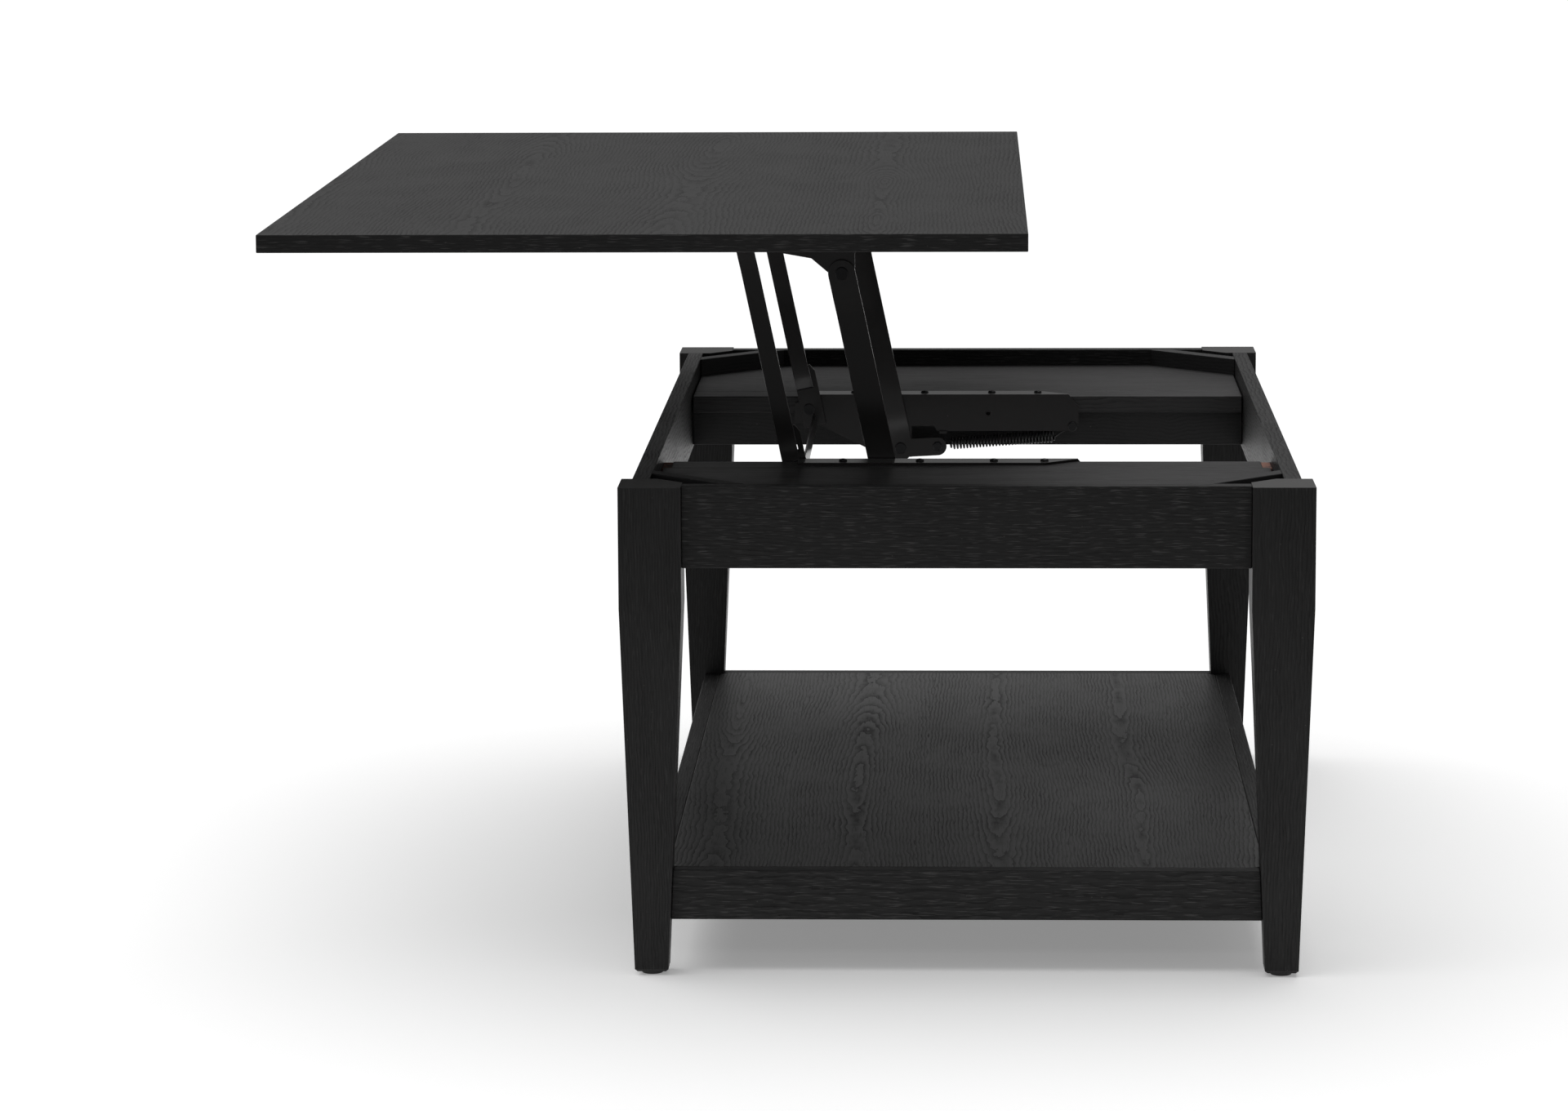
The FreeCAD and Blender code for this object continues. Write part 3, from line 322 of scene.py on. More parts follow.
def use_group(tree, group, **inputs):
    """Place a group in a tree, with the inputs named in words."""
    placed = add(tree, "ShaderNodeGroup", node_tree=group)
    for name, source in inputs.items():
        feed(tree, placed.inputs[name.replace("_", " ").title()], source)
    return placed.outputs


def blend_colours(tree, share, first, second):
    """A colour between two, each a colour or a socket, by a share that varies."""
    mix = add(tree, "ShaderNodeMix", {0: share}, data_type="RGBA")
    for index, shade in ((MIX_FIRST, first), (MIX_SECOND, second)):
        feed(tree, mix.inputs[index], (*shade, 1) if isinstance(shade, tuple) else shade)
    return mix.outputs[MIX_RESULT]


def new_finish(name):
    """A material with its shader and the object's own coordinates."""
    finish = bpy.data.materials.new(name)
    finish.use_nodes = True
    tree = finish.node_tree
    return finish, tree, tree.nodes["Principled BSDF"], add(tree, "ShaderNodeTexCoord").outputs["Object"]


def cover(tree, shader, colour, roughness, relief, strength, depth):
    """Give the shader its colour and roughness, and bump the surface by a relief."""
    bump = add(tree, "ShaderNodeBump", {"Height": relief, "Strength": strength, "Distance": depth})
    for name, source in (("Base Color", colour), ("Roughness", roughness), ("Normal", bump.outputs[0])):
        feed(tree, shader.inputs[name], source)


print("finish helpers ready")

# %% Stained oak, in three grain directions
TURNS = {"x": (0, 0, math.pi/2), "y": (0, 0, 0), "z": (math.pi/2, 0, 0)}
DENSE_WOOD, OPEN_WOOD = (0.0072, 0.0070, 0.0070), (0.0035, 0.0034, 0.0034)
# Two painted highlights: a grey for the glints in the grain, and a lighter wood colour for the edges.
PAINTED_GLINT_GREY, PAINTED_EDGE_HIGHLIGHT = (0.075, 0.074, 0.073), (0.030, 0.029, 0.028)
SEED_STEP = 0.71


def stained_oak(name, grain, seed, leaf_width=2.0, face_height=0.0, ring_gap=0.003, heart=0.09,
                wander=0.03, dense=DENSE_WOOD, open_wood=OPEN_WOOD, gloss=0.22,
                lacquer_roughness=0.36, relief=0.35, painted_glint_strength=0.1):
    """Black stained oak with its grain along x, y or z."""
    finish, tree, shader, own = new_finish(name)
    laid = add(tree, "ShaderNodeMapping", {"Vector": own, "Rotation": TURNS[grain],
                                           "Location": (0.0, seed*SEED_STEP, -face_height)})
    figure = use_group(tree, oak, vector=laid.outputs[0], leaf_width=leaf_width, ring_gap=ring_gap,
                       heart_depth=heart, wander=wander, seed=seed)
    painted_edge_share = use_group(tree, edges, width=0.0016, strength=0.6)["Edge"]
    touched = use_group(tree, handled, vector=own, dust=0.25)
    soaked = maths(tree, "MAXIMUM", maths(tree, "MULTIPLY", figure["Ring"], 0.8), figure["Pores"])
    colour = blend_colours(tree, soaked, dense, open_wood)
    fibres = maths(tree, "MULTIPLY", figure["Fibre"], 0.5)
    colour = blend_colours(tree, fibres, colour, tuple(1.5*c for c in dense))
    # Painted highlight: the glints lighten the colour towards grey.
    painted_glint_share = maths(tree, "MULTIPLY", figure["Glint"], painted_glint_strength)
    colour = blend_colours(tree, painted_glint_share, colour, PAINTED_GLINT_GREY)
    # Painted highlight: every edge takes a lighter colour.
    colour = blend_colours(tree, painted_edge_share, colour, PAINTED_EDGE_HIGHLIGHT)
    colour = blend_colours(tree, touched["Dust"], colour, DUST)
    smudged = maths(tree, "MULTIPLY_ADD", touched["Smudge"], 0.14, 0.42)
    roughness = maths(tree, "MULTIPLY_ADD", soaked, 0.2, smudged)
    cover(tree, shader, colour, roughness, figure["Height"], relief, 0.0004)
    film = add(tree, "ShaderNodeMapRange", {"Value": soaked, "To Min": gloss, "To Max": 0.0})
    tree.links.new(film.outputs[0], shader.inputs["Coat Weight"])
    shader.inputs["Coat Roughness"].default_value = lacquer_roughness
    shader.inputs["Specular IOR Level"].default_value = 0.16
    return finish


print("stained oak recipe ready")

# %% [markdown]
# ## Boards with softened edges
# The boards of the frame already have rounded edges. The legs, the corner braces and the two
# platforms are sharp, as sawn, and a real one is sanded. A copy of each is merged into one
# clean mesh, and a Bevel modifier takes its sharp edges down. The copy then stands for the
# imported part, and rides on the same body.

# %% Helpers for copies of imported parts
BODIES = frame["record"]["behaviour"]["bodies"]
BODY_OF = {part: body for body, parts in BODIES.items() for part in parts}
TOUCHING = 1e-6
SHARP = math.radians(30)
print("bodies:", len(BODIES))


def merged_copy(part, name):
    """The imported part's mesh with its doubles merged, as a new object."""
    shape = bmesh.new()
    shape.from_mesh(frame["nodes"][part].data)
    bmesh.ops.remove_doubles(shape, verts=shape.verts, dist=TOUCHING)
    bmesh.ops.dissolve_limit(shape, angle_limit=math.radians(0.5), verts=shape.verts,
                             edges=shape.edges)
    mesh = bpy.data.meshes.new(name)
    shape.to_mesh(mesh)
    shape.free()
    copy = bpy.data.objects.new(name, mesh)
    bpy.context.scene.collection.objects.link(copy)
    return copy


def made_real(piece):
    """Turn a piece's modifiers into plain mesh."""
    graph = bpy.context.evaluated_depsgraph_get()
    mesh = bpy.data.meshes.new_from_object(piece.evaluated_get(graph))
    piece.modifiers.clear()
    piece.data = mesh
    return piece


def soften(piece, width, segments=2):
    """Round a piece's sharp edges, and keep the shading of its wide faces flat."""
    piece.data.shade_smooth()
    bevel = piece.modifiers.new("soft_edges", "BEVEL")
    bevel.width = width
    bevel.segments = segments
    bevel.limit_method = "ANGLE"
    bevel.angle_limit = SHARP
    bevel.use_clamp_overlap = True
    flat = piece.modifiers.new("flat_faces", "WEIGHTED_NORMAL")
    flat.mode = "FACE_AREA"
    flat.weight = 100
    return made_real(piece)


def stand_in(part, name, width, segments=2):
    """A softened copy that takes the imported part's place on its body."""
    piece = soften(merged_copy(part, name), width, segments)
    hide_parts(part)
    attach(piece, BODY_OF[part])
    return piece


# %% Legs, braces, platforms and fillers
SOFTENED = {}
for end in ("near", "far"):
    for side in ("left", "right"):
        SOFTENED[f"leg_{end}_{side}"] = 0.0022
        SOFTENED[f"corner_brace_{end}_{side}"] = 0.0012
    SOFTENED[f"platform_{end}"] = 0.0006
SOFTENED["nosing_fillers"] = 0.0004
wooden = {part: stand_in(part, part + "_sanded", width) for part, width in SOFTENED.items()}
print("softened boards:", len(wooden))

# %% [markdown]
# ## The tabletop
# The top is a board with a figured sheet on its faces and a strip of veneer round its edge,
# where the grain runs along the strip. Five separate boards would show seams that the real
# one hasn't. One mesh with three material slots does it: each face takes its slot by the way
# it looks.

# %% Tabletop
top_board = merged_copy("top_panel", "tabletop")
soften(top_board, 0.0003, 1)
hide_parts("top_panel")
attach(top_board, "top")
FACES, END_STRIP, SIDE_STRIP = 0, 1, 2
LEVEL = 0.7


def choose_strips(piece):
    """Give every face the slot for the way it looks."""
    for face in piece.data.polygons:
        x, y, z = (abs(slope) for slope in face.normal)
        face.material_index = FACES if z > LEVEL else END_STRIP if y > x else SIDE_STRIP


print("tabletop faces:", len(top_board.data.polygons))

# %% [markdown]
# ## Finishes for the wood
# The top and the shelf show wide leaves with bold arches. Rails and legs are narrower pieces
# with straighter, finer lines. The platforms are a smooth dark board with hardly any figure.
# All of them come from the one recipe, each with its own seed and values. Blocks and rails
# inside the frame get a plainer finish, and the fillers show the hardwood under the stain.

# %% Wood finishes
top_face, shelf_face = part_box("top_panel")[1][2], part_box("shelf_panel")[1][2]
top_oak = stained_oak("oak_top", "y", 3.0, leaf_width=0.19, face_height=top_face,
                      ring_gap=0.0042, heart=0.016, wander=0.15, gloss=0.15, relief=0.7)
shelf_oak = stained_oak("oak_shelf", "y", 11.0, leaf_width=0.14, face_height=shelf_face,
                        ring_gap=0.0038, heart=0.012, wander=0.13, gloss=0.62,
                        dense=(0.016, 0.0157, 0.0157), relief=0.7)
rail_oak_x = stained_oak("oak_rail_across", "x", 5.0, relief=0.8, painted_glint_strength=0.45)
rail_oak_y = stained_oak("oak_rail_along", "y", 7.0, relief=0.8, painted_glint_strength=0.45)
leg_oak = stained_oak("oak_leg", "z", 9.0, ring_gap=0.0025, wander=0.02, relief=0.15, painted_glint_strength=0.12)
platform_board = stained_oak("platform_board", "x", 15.0, wander=0.02, relief=0.06, gloss=0.18,
                             dense=(0.026, 0.0252, 0.0256), lacquer_roughness=0.32, painted_glint_strength=0.05)


def brushed_wood():
    """Dull black stain brushed onto blocks and rails that are hardly seen."""
    finish, tree, shader, own = new_finish("brushed_wood")
    figure = use_group(tree, oak, vector=own, ring_gap=0.004, heart_depth=0.15, wander=0.03, seed=21.0)
    touched = use_group(tree, handled, vector=own, dust=0.5)
    colour = blend_colours(tree, figure["Ring"], (0.016, 0.0155, 0.016), (0.008, 0.008, 0.008))
    colour = blend_colours(tree, touched["Dust"], colour, THIN_DUST)
    roughness = maths(tree, "MULTIPLY_ADD", touched["Smudge"], 0.2, 0.45)
    cover(tree, shader, colour, roughness, figure["Height"], 0.3, 0.0003)
    shader.inputs["Specular IOR Level"].default_value = 0.3
    return finish


def raw_hardwood():
    """Sawn reddish hardwood that the stain didn't reach."""
    finish, tree, shader, own = new_finish("raw_hardwood")
    figure = use_group(tree, oak, vector=own, ring_gap=0.003, heart_depth=0.1, wander=0.05, seed=33.0)
    stain = add(tree, "ShaderNodeTexNoise", {"Vector": own, "Scale": 90.0, "Detail": 3.0})
    patches = share_between(tree, stain.outputs["Fac"], 0.52, 0.62)
    colour = blend_colours(tree, figure["Ring"], (0.20, 0.085, 0.055), (0.10, 0.04, 0.028))
    colour = blend_colours(tree, patches, colour, (0.02, 0.017, 0.016))
    cover(tree, shader, colour, 0.75, figure["Height"], 0.6, 0.0005)
    return finish


dull_wood = brushed_wood()
raw_wood = raw_hardwood()
print("wood finishes ready")

# %% [markdown]
# ## Finishes for metal and plastic
# The linkage is pressed steel in a glossy black paint, which shows a faint orange-peel skin.
# Its edges are painted a lighter brown, a painted highlight. Fasteners are blackened, the springs
# are oiled wire, and the feet are moulded nylon. The metals differ only in their values, so one
# recipe makes all four, each with the same painted highlight on its edges.

# %% Metal and plastic finishes
def metal(name, colour, painted_edge_colour, metallic, roughness, skin_scale, skin_depth, gloss=0.0,
          shine=0.5):
    """A metal skin with a painted highlight on its edges, smudges, dust and a fine uneven surface."""
    finish, tree, shader, own = new_finish(name)
    painted_edge_share = use_group(tree, edges, width=0.0007, strength=0.7)["Edge"]
    touched = use_group(tree, handled, vector=own, dust=0.4)
    skin = add(tree, "ShaderNodeTexNoise", {"Vector": own, "Scale": skin_scale, "Detail": 2.0})
    shade = blend_colours(tree, touched["Smudge"], colour, tuple(0.6*c for c in colour))
    # Painted highlight: the edges take a lighter colour.
    shade = blend_colours(tree, painted_edge_share, shade, painted_edge_colour)
    shade = blend_colours(tree, touched["Dust"], shade, THIN_DUST)
    smudged = maths(tree, "MULTIPLY_ADD", touched["Smudge"], 0.16, roughness - 0.05)
    cover(tree, shader, shade, smudged, skin.outputs["Fac"], 0.5, skin_depth)
    shader.inputs["Metallic"].default_value = metallic
    shader.inputs["Specular IOR Level"].default_value = shine
    shader.inputs["Coat Weight"].default_value = gloss
    shader.inputs["Coat Roughness"].default_value = 0.12
    return finish


black_paint = metal("gloss_black_paint", (0.0058, 0.0045, 0.0044), (0.030, 0.023, 0.021),
                    metallic=0.0, roughness=0.30, skin_scale=700, skin_depth=0.00006, gloss=0.45,
                    shine=0.25)
blackened = metal("blackened_steel", (0.030, 0.030, 0.031), (0.10, 0.10, 0.10),
                  metallic=0.85, roughness=0.40, skin_scale=1500, skin_depth=0.00004)
spring_wire = metal("oiled_spring_wire", (0.055, 0.054, 0.055), (0.12, 0.12, 0.12),
                    metallic=0.9, roughness=0.30, skin_scale=1800, skin_depth=0.00003)
zinc = metal("zinc_plate", (0.55, 0.55, 0.53), (0.70, 0.70, 0.68),
             metallic=1.0, roughness=0.30, skin_scale=900, skin_depth=0.00004)


def moulded_nylon():
    """Black nylon with the fine spark-eroded texture of its mould."""
    finish, tree, shader, own = new_finish("moulded_nylon")
    grit = add(tree, "ShaderNodeTexNoise", {"Vector": own, "Scale": 2500.0, "Detail": 2.0})
    touched = use_group(tree, handled, vector=own, dust=0.6)
    colour = blend_colours(tree, touched["Dust"], (0.022, 0.022, 0.022), FAINT_DUST)
    roughness = maths(tree, "MULTIPLY_ADD", touched["Smudge"], 0.15, 0.45)
    cover(tree, shader, colour, roughness, grit.outputs["Fac"], 0.4, 0.00005)
    return finish


nylon = moulded_nylon()
print("metal and plastic finishes ready")

# %% [markdown]
# ## Leg tops and paint
# The top of a leg is sawn across, so it shows open pores as dots instead of lines. A second
# material on the upward faces is enough, since the two never meet on one face. Every part is
# then painted by its name: the first entry in the list that its name begins with decides.

# %% End grain
def end_grain():
    """The sawn end of a leg, where the stain dries greyer and the pores show as dots."""
    finish, tree, shader, own = new_finish("oak_end_grain")
    dots = add(tree, "ShaderNodeTexVoronoi", {"Vector": own, "Scale": 900.0})
    open_ends = share_between(tree, dots.outputs["Distance"], 0.35, 0.2)
    touched = use_group(tree, handled, vector=own, dust=0.3)
    colour = blend_colours(tree, open_ends, (0.036, 0.035, 0.034), (0.012, 0.012, 0.012))
    colour = blend_colours(tree, touched["Dust"], colour, DUST)
    roughness = maths(tree, "MULTIPLY_ADD", touched["Smudge"], 0.2, 0.4)
    cover(tree, shader, colour, roughness, dots.outputs["Distance"], 0.3, 0.0002)
    return finish


cut_end = end_grain()
print("end grain ready")

# %% Paint every part
FINISHES = (("leg_near", leg_oak), ("leg_far", leg_oak), ("leg_inserts", zinc), ("end_apron", rail_oak_x),
            ("side_apron", rail_oak_y), ("corner_brace", dull_wood), ("platform_nosing", platform_board),
            ("platform_rail", dull_wood), ("platform_cleat", dull_wood), ("platform_screws", blackened),
            ("platform_", platform_board), ("nosing_fillers", raw_wood), ("shelf_end_rail", rail_oak_x),
            ("shelf_side_rail", rail_oak_y), ("shelf_panel", shelf_oak), ("top_panel", top_oak),
            ("top_screws", blackened), ("upper_pivot", blackened), ("wide_arm_rivets", blackened),
            ("lever_bolt", blackened), ("hanger_bolts", blackened), ("narrow_arm_bolts", blackened),
            ("spring_", spring_wire), ("leveller", nylon), ("", black_paint))


def paint(piece, *finishes):
    """Give a piece its finishes, in slot order."""
    piece.data.materials.clear()
    for finish in finishes:
        piece.data.materials.append(finish)


def finish_for(part):
    """The finish whose name begins the part's name."""
    return next(finish for start, finish in FINISHES if part.startswith(start))


for part, node in frame["nodes"].items():
    paint(node, finish_for(part))
for part, piece in wooden.items():
    paint(piece, finish_for(part))
    if part.startswith("leg_"):
        piece.data.materials.append(cut_end)
        for face in piece.data.polygons:
            face.material_index = 1 if face.normal.z > LEVEL else 0
paint(top_board, top_oak, rail_oak_x, rail_oak_y)
choose_strips(top_board)
print("painted:", len(frame["nodes"]) + len(wooden) + 1)

# %% [markdown]
# ## Tension springs
# Each spring is one wire: a ring round the lever's bolt, a short straight, about thirty open
# turns, and a longer straight that climbs to another ring at the anchor. The turns follow a
# rule, so Geometry Nodes wind them round a line. The line is cut into many points, each
# pushed out from it at an angle that grows along it, and a small circle is drawn along the
# result.

# %% Coil spring tree
POINTS_A_TURN = 14
FOR_STRAIGHTS = 1.15
OPENING = 0.02
SIDEWAYS = (0, 1, 0)
coil, given, result = new_group(
    "wind_spring", "GeometryNodeTree",
    [("Geometry", "NodeSocketGeometry"), ("Turns", "NodeSocketInt", 33),
     ("Coil Radius", FLOAT, 0.0059), ("Wire Radius", FLOAT, 0.0009),
     ("Straight Share", FLOAT, 0.06), ("Hook Share", FLOAT, 0.12),
     ("Ring Radius", FLOAT, 0.0043), ("Wire", "NodeSocketMaterial")],
    [("Geometry", "NodeSocketGeometry")])
line = add(coil, "GeometryNodeMeshToCurve", {"Mesh": given["Geometry"]}).outputs[0]
count = maths(coil, "MULTIPLY", given["Turns"], POINTS_A_TURN*FOR_STRAIGHTS)
points = add(coil, "GeometryNodeResampleCurve", {"Curve": line, "Count": count}).outputs[0]
share = add(coil, "GeometryNodeSplineParameter").outputs["Factor"]
past = maths(coil, "SUBTRACT", 1.0, given["Hook Share"])
wound = share_between(coil, share, given["Straight Share"], past)
angle = maths(coil, "MULTIPLY", maths(coil, "MULTIPLY", wound, given["Turns"]), math.tau)


def combine(operation, vector, **inputs):
    """One Vector Math node in the coil tree, with a second vector or a scale."""
    sockets = {0: vector}
    sockets.update((1 if name == "second" else "Scale", source) for name, source in inputs.items())
    return add(coil, "ShaderNodeVectorMath", sockets, operation=operation).outputs[0]


def widening(distance, straight):
    """From 0 at the straight's end to 1 a little way into the coil."""
    until = maths(coil, "ADD", straight, OPENING)
    return add(coil, "ShaderNodeMapRange", {"Value": distance, "From Min": straight, "From Max": until},
               interpolation_type="SMOOTHSTEP").outputs[0]


opened = widening(share, given["Straight Share"])
closed = widening(maths(coil, "SUBTRACT", 1.0, share), given["Hook Share"])
reach = maths(coil, "MULTIPLY", maths(coil, "MULTIPLY", opened, closed), given["Coil Radius"])
along = add(coil, "GeometryNodeInputTangent").outputs[0]
upward = combine("CROSS_PRODUCT", along, second=SIDEWAYS)
to_side = combine("SCALE", SIDEWAYS, scale=maths(coil, "SINE", angle))
to_top = combine("SCALE", upward, scale=maths(coil, "COSINE", angle))
push = combine("SCALE", combine("ADD", to_side, second=to_top), scale=reach)
helix = add(coil, "GeometryNodeSetPosition", {"Geometry": points, "Offset": push}).outputs[0]
print("turns worked out")

# %% Coil spring tree: end rings and the wire itself
RING_POINTS, WIRE_SIDES = 24, 7


def end_ring(which, outward):
    """A ring of wire beyond one end of the line, 0 or 1, where the spring hooks on."""
    wire_ring = add(coil, "GeometryNodeCurvePrimitiveCircle",
                    {"Resolution": RING_POINTS, "Radius": given["Ring Radius"]})
    spot = add(coil, "GeometryNodeSampleCurve", {"Curves": line, "Factor": which},
               data_type="FLOAT_VECTOR")
    offset = combine("SCALE", spot.outputs["Tangent"],
                     scale=maths(coil, "MULTIPLY", given["Ring Radius"], outward))
    centre = combine("ADD", spot.outputs["Position"], second=offset)
    return add(coil, "GeometryNodeTransform", {"Geometry": wire_ring.outputs[0], "Translation": centre,
                                               "Rotation": (math.pi/2, 0, 0)}).outputs[0]


paths = add(coil, "GeometryNodeJoinGeometry")
for path in (helix, end_ring(0.0, -1.0), end_ring(1.0, 1.0)):
    coil.links.new(path, paths.inputs[0])
section = add(coil, "GeometryNodeCurvePrimitiveCircle",
              {"Resolution": WIRE_SIDES, "Radius": given["Wire Radius"]})
drawn = add(coil, "GeometryNodeCurveToMesh",
            {"Curve": paths.outputs[0], "Profile Curve": section.outputs[0], "Fill Caps": True})
real = add(coil, "GeometryNodeRealizeInstances", {"Geometry": drawn.outputs[0]})
finished = add(coil, "GeometryNodeSetMaterial", {"Geometry": real.outputs[0], "Material": given["Wire"]})
coil.links.new(finished.outputs[0], result.inputs[0])
print("spring tree:", len(coil.nodes), "nodes")

# %% Helpers for grown pieces
def grow(piece, tree, smooth=True, **choices):
    """Run a Geometry Nodes tree on a piece with the inputs named, and keep the plain mesh."""
    modifier = piece.modifiers.new(tree.name, "NODES")
    modifier.node_group = tree
    for item in tree.interface.items_tree:
        key = item.name.replace(" ", "_").lower()
        if item.in_out == "INPUT" and key in choices:
            modifier[item.identifier] = choices[key]
    made_real(piece)
    if smooth:
        piece.data.shade_smooth()
    return piece


def line_through(name, *stops):
    """An object with a line of edges from stop to stop."""
    mesh = bpy.data.meshes.new(name)
    mesh.from_pydata(stops, [(step, step + 1) for step in range(len(stops) - 1)], [])
    made = bpy.data.objects.new(name, mesh)
    bpy.context.scene.collection.objects.link(made)
    return made


print("growing helpers ready")

# %% Two springs
JOINTS = {joint["name"]: joint for joint in frame["joints"]}
SPRING_TURNS = 33
RING = 0.0043
HOOK_BACK, HOOK_DROP = 0.018, 0.0120
for end in ("near", "far"):
    ends = JOINTS[f"spring_stretch_{end}"]["deforming_nodes"][0]
    bolt, anchor = Vector(ends["fixed_end_m"]), Vector(ends["moving_end_m"])
    coil_end = anchor - Vector((HOOK_BACK, 0, HOOK_DROP))
    coil_start = bolt + (coil_end - bolt).normalized()*RING
    hook_end = anchor - (anchor - coil_end).normalized()*RING
    spring = line_through(f"coil_spring_{end}", coil_start, coil_end, hook_end)
    hook_length = (hook_end - coil_end).length
    hook_share = hook_length/(hook_length + (coil_end - coil_start).length)
    grow(spring, coil, turns=SPRING_TURNS, ring_radius=RING, hook_share=hook_share, wire=spring_wire)
    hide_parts(f"spring_{end}", f"spring_hook_{end}")
    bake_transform(spring)
    print(spring.name, "faces:", len(spring.data.polygons))

# %% [markdown]
# ## Linkage steel
# The arms, plates and brackets are cut and bent from flat steel, so their edges are barely
# broken. They could be built again from sheets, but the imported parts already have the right
# bends and holes. A narrow bevel on a copy is enough for the bright line that each edge shows.

# %% Linkage arms, plates and brackets
PRESSED_EDGE = 0.0004
PRESSED = [f"{part}_{end}" for part in ("wide_arm", "narrow_arm", "base_plate", "top_bracket")
           for end in ("near", "far")] + ["cross_tie"]
for part in PRESSED:
    paint(stand_in(part, part + "_pressed", PRESSED_EDGE), black_paint)
print("pressed parts:", len(PRESSED))

# %% [markdown]
# ## Turned heads
# The pivot rivets and the bolts were set under a hammer or turned in a lathe, so their rims
# are well rounded. A wider bevel gives each head its crown.

# %% Rivets and bolts
TURNED = {"wide_arm_rivets": 0.0011, "narrow_arm_bolts": 0.0009, "spring_anchors": 0.0009,
          "lever_bolt_near": 0.0009, "lever_bolt_far": 0.0009, "upper_pivot_rivets": 0.0007,
          "hanger_bolts": 0.0004}
CROWN_STEPS = 3
for part, width in TURNED.items():
    paint(stand_in(part, part + "_turned", width, CROWN_STEPS), blackened)
print("rivets and bolts:", len(TURNED))

# %% [markdown]
# ## Wood screws
# Pan-head screws with a cross recess hold the plates to the platforms and the brackets to
# the top. One screw is modelled once: rings of points make the head, the faces of a cross
# are pushed down for the recess, and a shank runs below. Geometry Nodes then seat a copy at
# every screw's place, each turned by its own angle, as a screwdriver leaves them.

# %% One wood screw
HEAD_RADIUS, HEAD_HEIGHT = 0.0042, 0.0022
SLOT_REACH, SLOT_HALF, SLOT_DEPTH = 0.0024, 0.00045, 0.0011
SHANK_RADIUS, SHANK_LENGTH, POINT_LENGTH = 0.0019, 0.010, 0.004
HEAD_RINGS = ((SLOT_HALF*1.7, HEAD_HEIGHT), (SLOT_REACH, HEAD_HEIGHT*0.97),
              (HEAD_RADIUS*0.8, HEAD_HEIGHT*0.84), (HEAD_RADIUS*0.96, HEAD_HEIGHT*0.5),
              (HEAD_RADIUS, HEAD_HEIGHT*0.1), (HEAD_RADIUS*0.98, 0.0), (SHANK_RADIUS, 0.0),
              (SHANK_RADIUS, -SHANK_LENGTH), (SHANK_RADIUS*0.15, -SHANK_LENGTH - POINT_LENGTH))
BETWEEN_SLOTS = 3
WIDEST_SINE = 0.7
HEAD_CREASE = math.radians(38)


def ring_of_points(shape, radius, height):
    """Points round a ring: one at each wall of each slot, and some between the slots."""
    wall = math.asin(min(SLOT_HALF/radius, WIDEST_SINE))
    gap = (math.pi/2 - 2*wall)/(BETWEEN_SLOTS + 1)
    points = []
    for quarter in range(4):
        for step in range(BETWEEN_SLOTS + 2):
            turned = quarter*math.pi/2 + (-wall if step == 0 else wall + (step - 1)*gap)
            points.append(shape.verts.new((radius*math.cos(turned), radius*math.sin(turned), height)))
    return points


def screw_mesh():
    """The screw with its seat at the origin and its head along +Z."""
    shape = bmesh.new()
    rings = [ring_of_points(shape, radius, height) for radius, height in HEAD_RINGS]
    recess = [shape.faces.new(rings[0])]
    count = len(rings[0])
    for level, (upper, lower) in enumerate(zip(rings, rings[1:])):
        for step in range(count):
            following = (step + 1) % count
            side = shape.faces.new((upper[step], lower[step], lower[following], upper[following]))
            if level == 0 and step % (BETWEEN_SLOTS + 2) == 0:
                recess.append(side)
    shape.faces.new(reversed(rings[-1]))
    pushed = bmesh.ops.extrude_face_region(shape, geom=recess)["geom"]
    recess_floor = [item for item in pushed if isinstance(item, bmesh.types.BMVert)]
    bmesh.ops.translate(shape, vec=(0, 0, -SLOT_DEPTH), verts=recess_floor)
    bmesh.ops.delete(shape, geom=recess, context="FACES_ONLY")
    bmesh.ops.recalc_face_normals(shape, faces=shape.faces)
    mesh = bpy.data.meshes.new("wood_screw")
    shape.to_mesh(mesh)
    shape.free()
    mesh.shade_smooth()
    mesh.set_sharp_from_angle(angle=HEAD_CREASE)
    return mesh


one_screw = bpy.data.objects.new("wood_screw", screw_mesh())
print("one screw:", len(one_screw.data.polygons), "faces")

# %% Screw tree
seat, given, result = new_group(
    "seat_screws", "GeometryNodeTree",
    [("Geometry", "NodeSocketGeometry"), ("Screw", "NodeSocketObject"), ("Steel", "NodeSocketMaterial"),
     ("Seed", "NodeSocketInt", 4)],
    [("Geometry", "NodeSocketGeometry")])
SEAT_AXIS = "seat_axis"
NUMBER_MAX, NUMBER_VALUE = 3, 1
shape_of_screw = add(seat, "GeometryNodeObjectInfo", {"Object": given["Screw"]}).outputs["Geometry"]
facing = add(seat, "GeometryNodeInputNamedAttribute", {"Name": SEAT_AXIS},
             data_type="FLOAT_VECTOR").outputs[0]
spin = add(seat, "FunctionNodeRandomValue", {"Seed": given["Seed"], NUMBER_MAX: math.pi/2},
           data_type="FLOAT").outputs[NUMBER_VALUE]
spun = add(seat, "FunctionNodeAxisAngleToRotation", {"Axis": (0, 0, 1), "Angle": spin})
aimed = add(seat, "FunctionNodeAlignRotationToVector",
            {"Rotation": spun.outputs[0], "Vector": facing}, axis="Z")
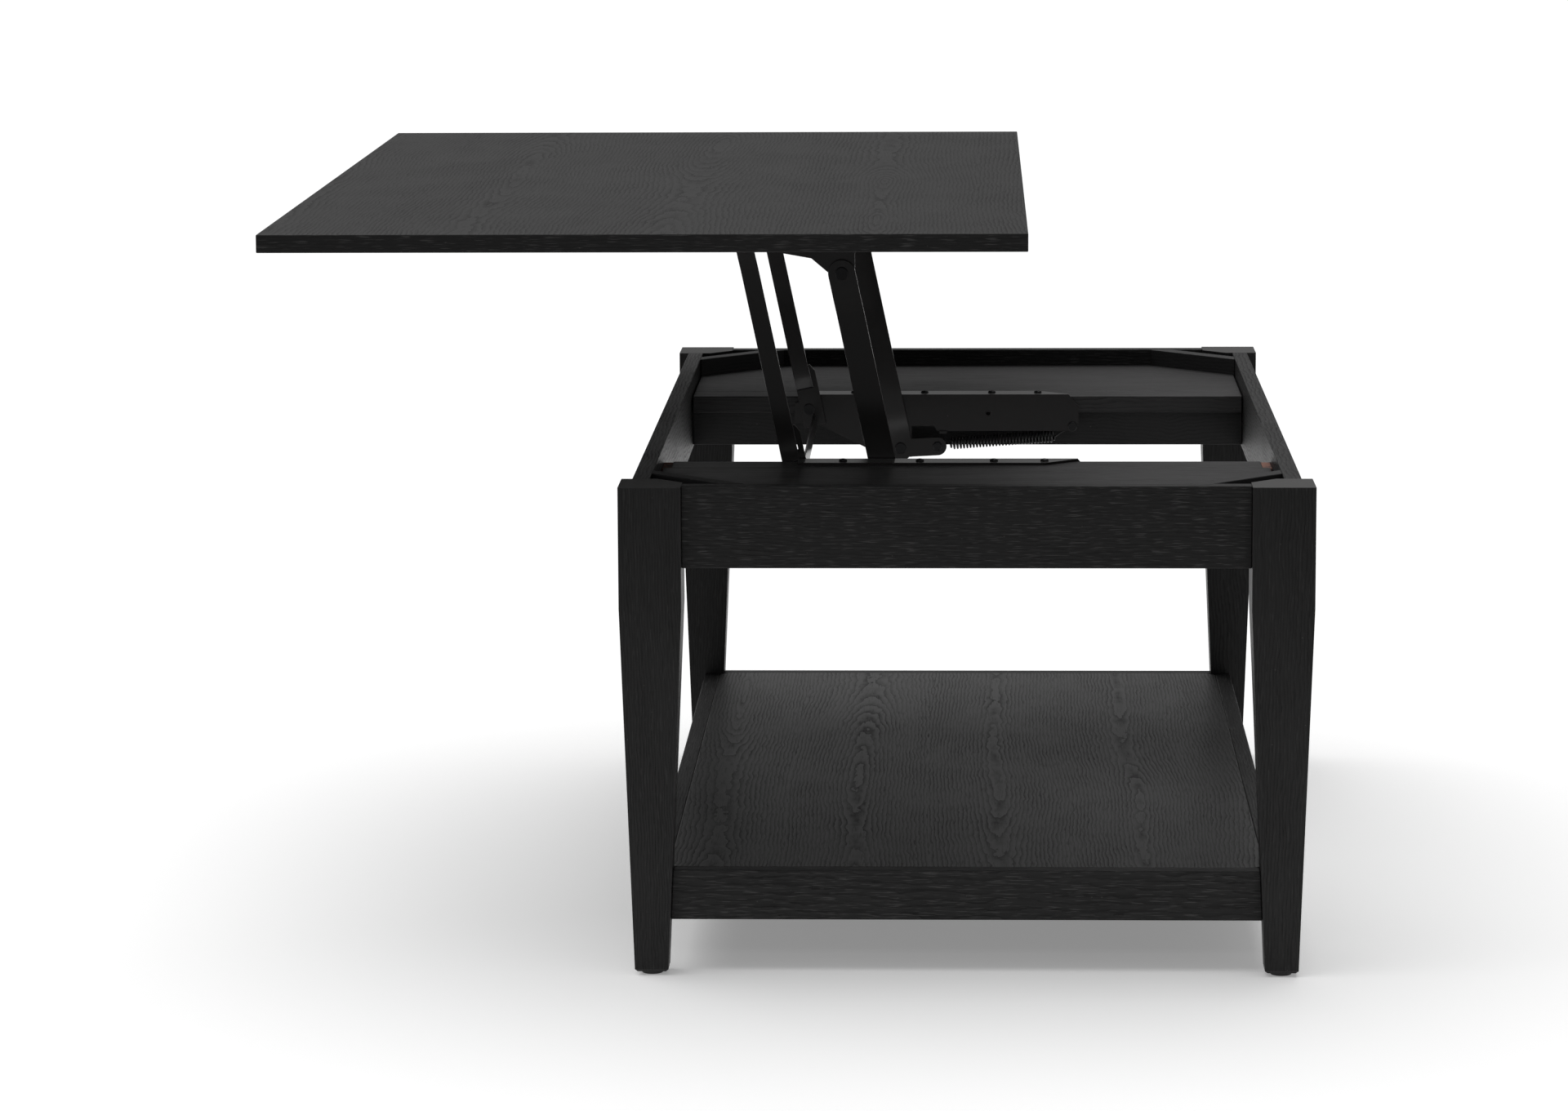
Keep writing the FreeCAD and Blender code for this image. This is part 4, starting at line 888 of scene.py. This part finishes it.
seated = add(seat, "GeometryNodeInstanceOnPoints",
             {"Points": given["Geometry"], "Instance": shape_of_screw, "Rotation": aimed.outputs[0]})
real = add(seat, "GeometryNodeRealizeInstances", {"Geometry": seated.outputs[0]})
finished = add(seat, "GeometryNodeSetMaterial", {"Geometry": real.outputs[0], "Material": given["Steel"]})
seat.links.new(finished.outputs[0], result.inputs[0])
print("screw tree:", len(seat.nodes), "nodes")

# %% Places of the screws
def separate_solids(part):
    """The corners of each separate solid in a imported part, as lists of points."""
    shape = bmesh.new()
    shape.from_mesh(frame["nodes"][part].data)
    bmesh.ops.remove_doubles(shape, verts=shape.verts, dist=TOUCHING)
    found = set()
    solids = []
    for first in shape.verts:
        if first in found:
            continue
        found.add(first)
        waiting = [first]
        solid = []
        while waiting:
            point = waiting.pop()
            solid.append(point.co.copy())
            fresh = {link.other_vert(point) for link in point.link_edges} - found
            found.update(fresh)
            waiting.extend(fresh)
        solids.append(solid)
    shape.free()
    return solids


def seat_of(solid, head_up):
    """The middle of a solid in plan, at the underside of its head."""
    low, high = (Vector([pick(point[axis] for point in solid) for axis in range(3)])
                 for pick in (min, max))
    head_end = high.z if head_up > 0 else low.z
    return (low.x + high.x)/2, (low.y + high.y)/2, head_end - head_up*HEAD_HEIGHT


print("separate platform screws:", len(separate_solids("platform_screws")))

# %% Seat the screws
for part, head_up in (("platform_screws", 1), ("top_screws", -1)):
    seats = [seat_of(solid, head_up) for solid in separate_solids(part)]
    mesh = bpy.data.meshes.new(part)
    mesh.from_pydata(seats, [], [])
    axes = mesh.attributes.new(SEAT_AXIS, "FLOAT_VECTOR", "POINT")
    for axis_of_seat in axes.data:
        axis_of_seat.vector = (0, 0, head_up)
    screws = bpy.data.objects.new(part + "_cross_recessed", mesh)
    bpy.context.scene.collection.objects.link(screws)
    grow(screws, seat, smooth=False, screw=one_screw, steel=blackened)
    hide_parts(part)
    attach(screws, BODY_OF[part])
    print(screws.name, "screws:", len(seats), "faces:", len(screws.data.polygons))
bpy.data.objects.remove(one_screw)
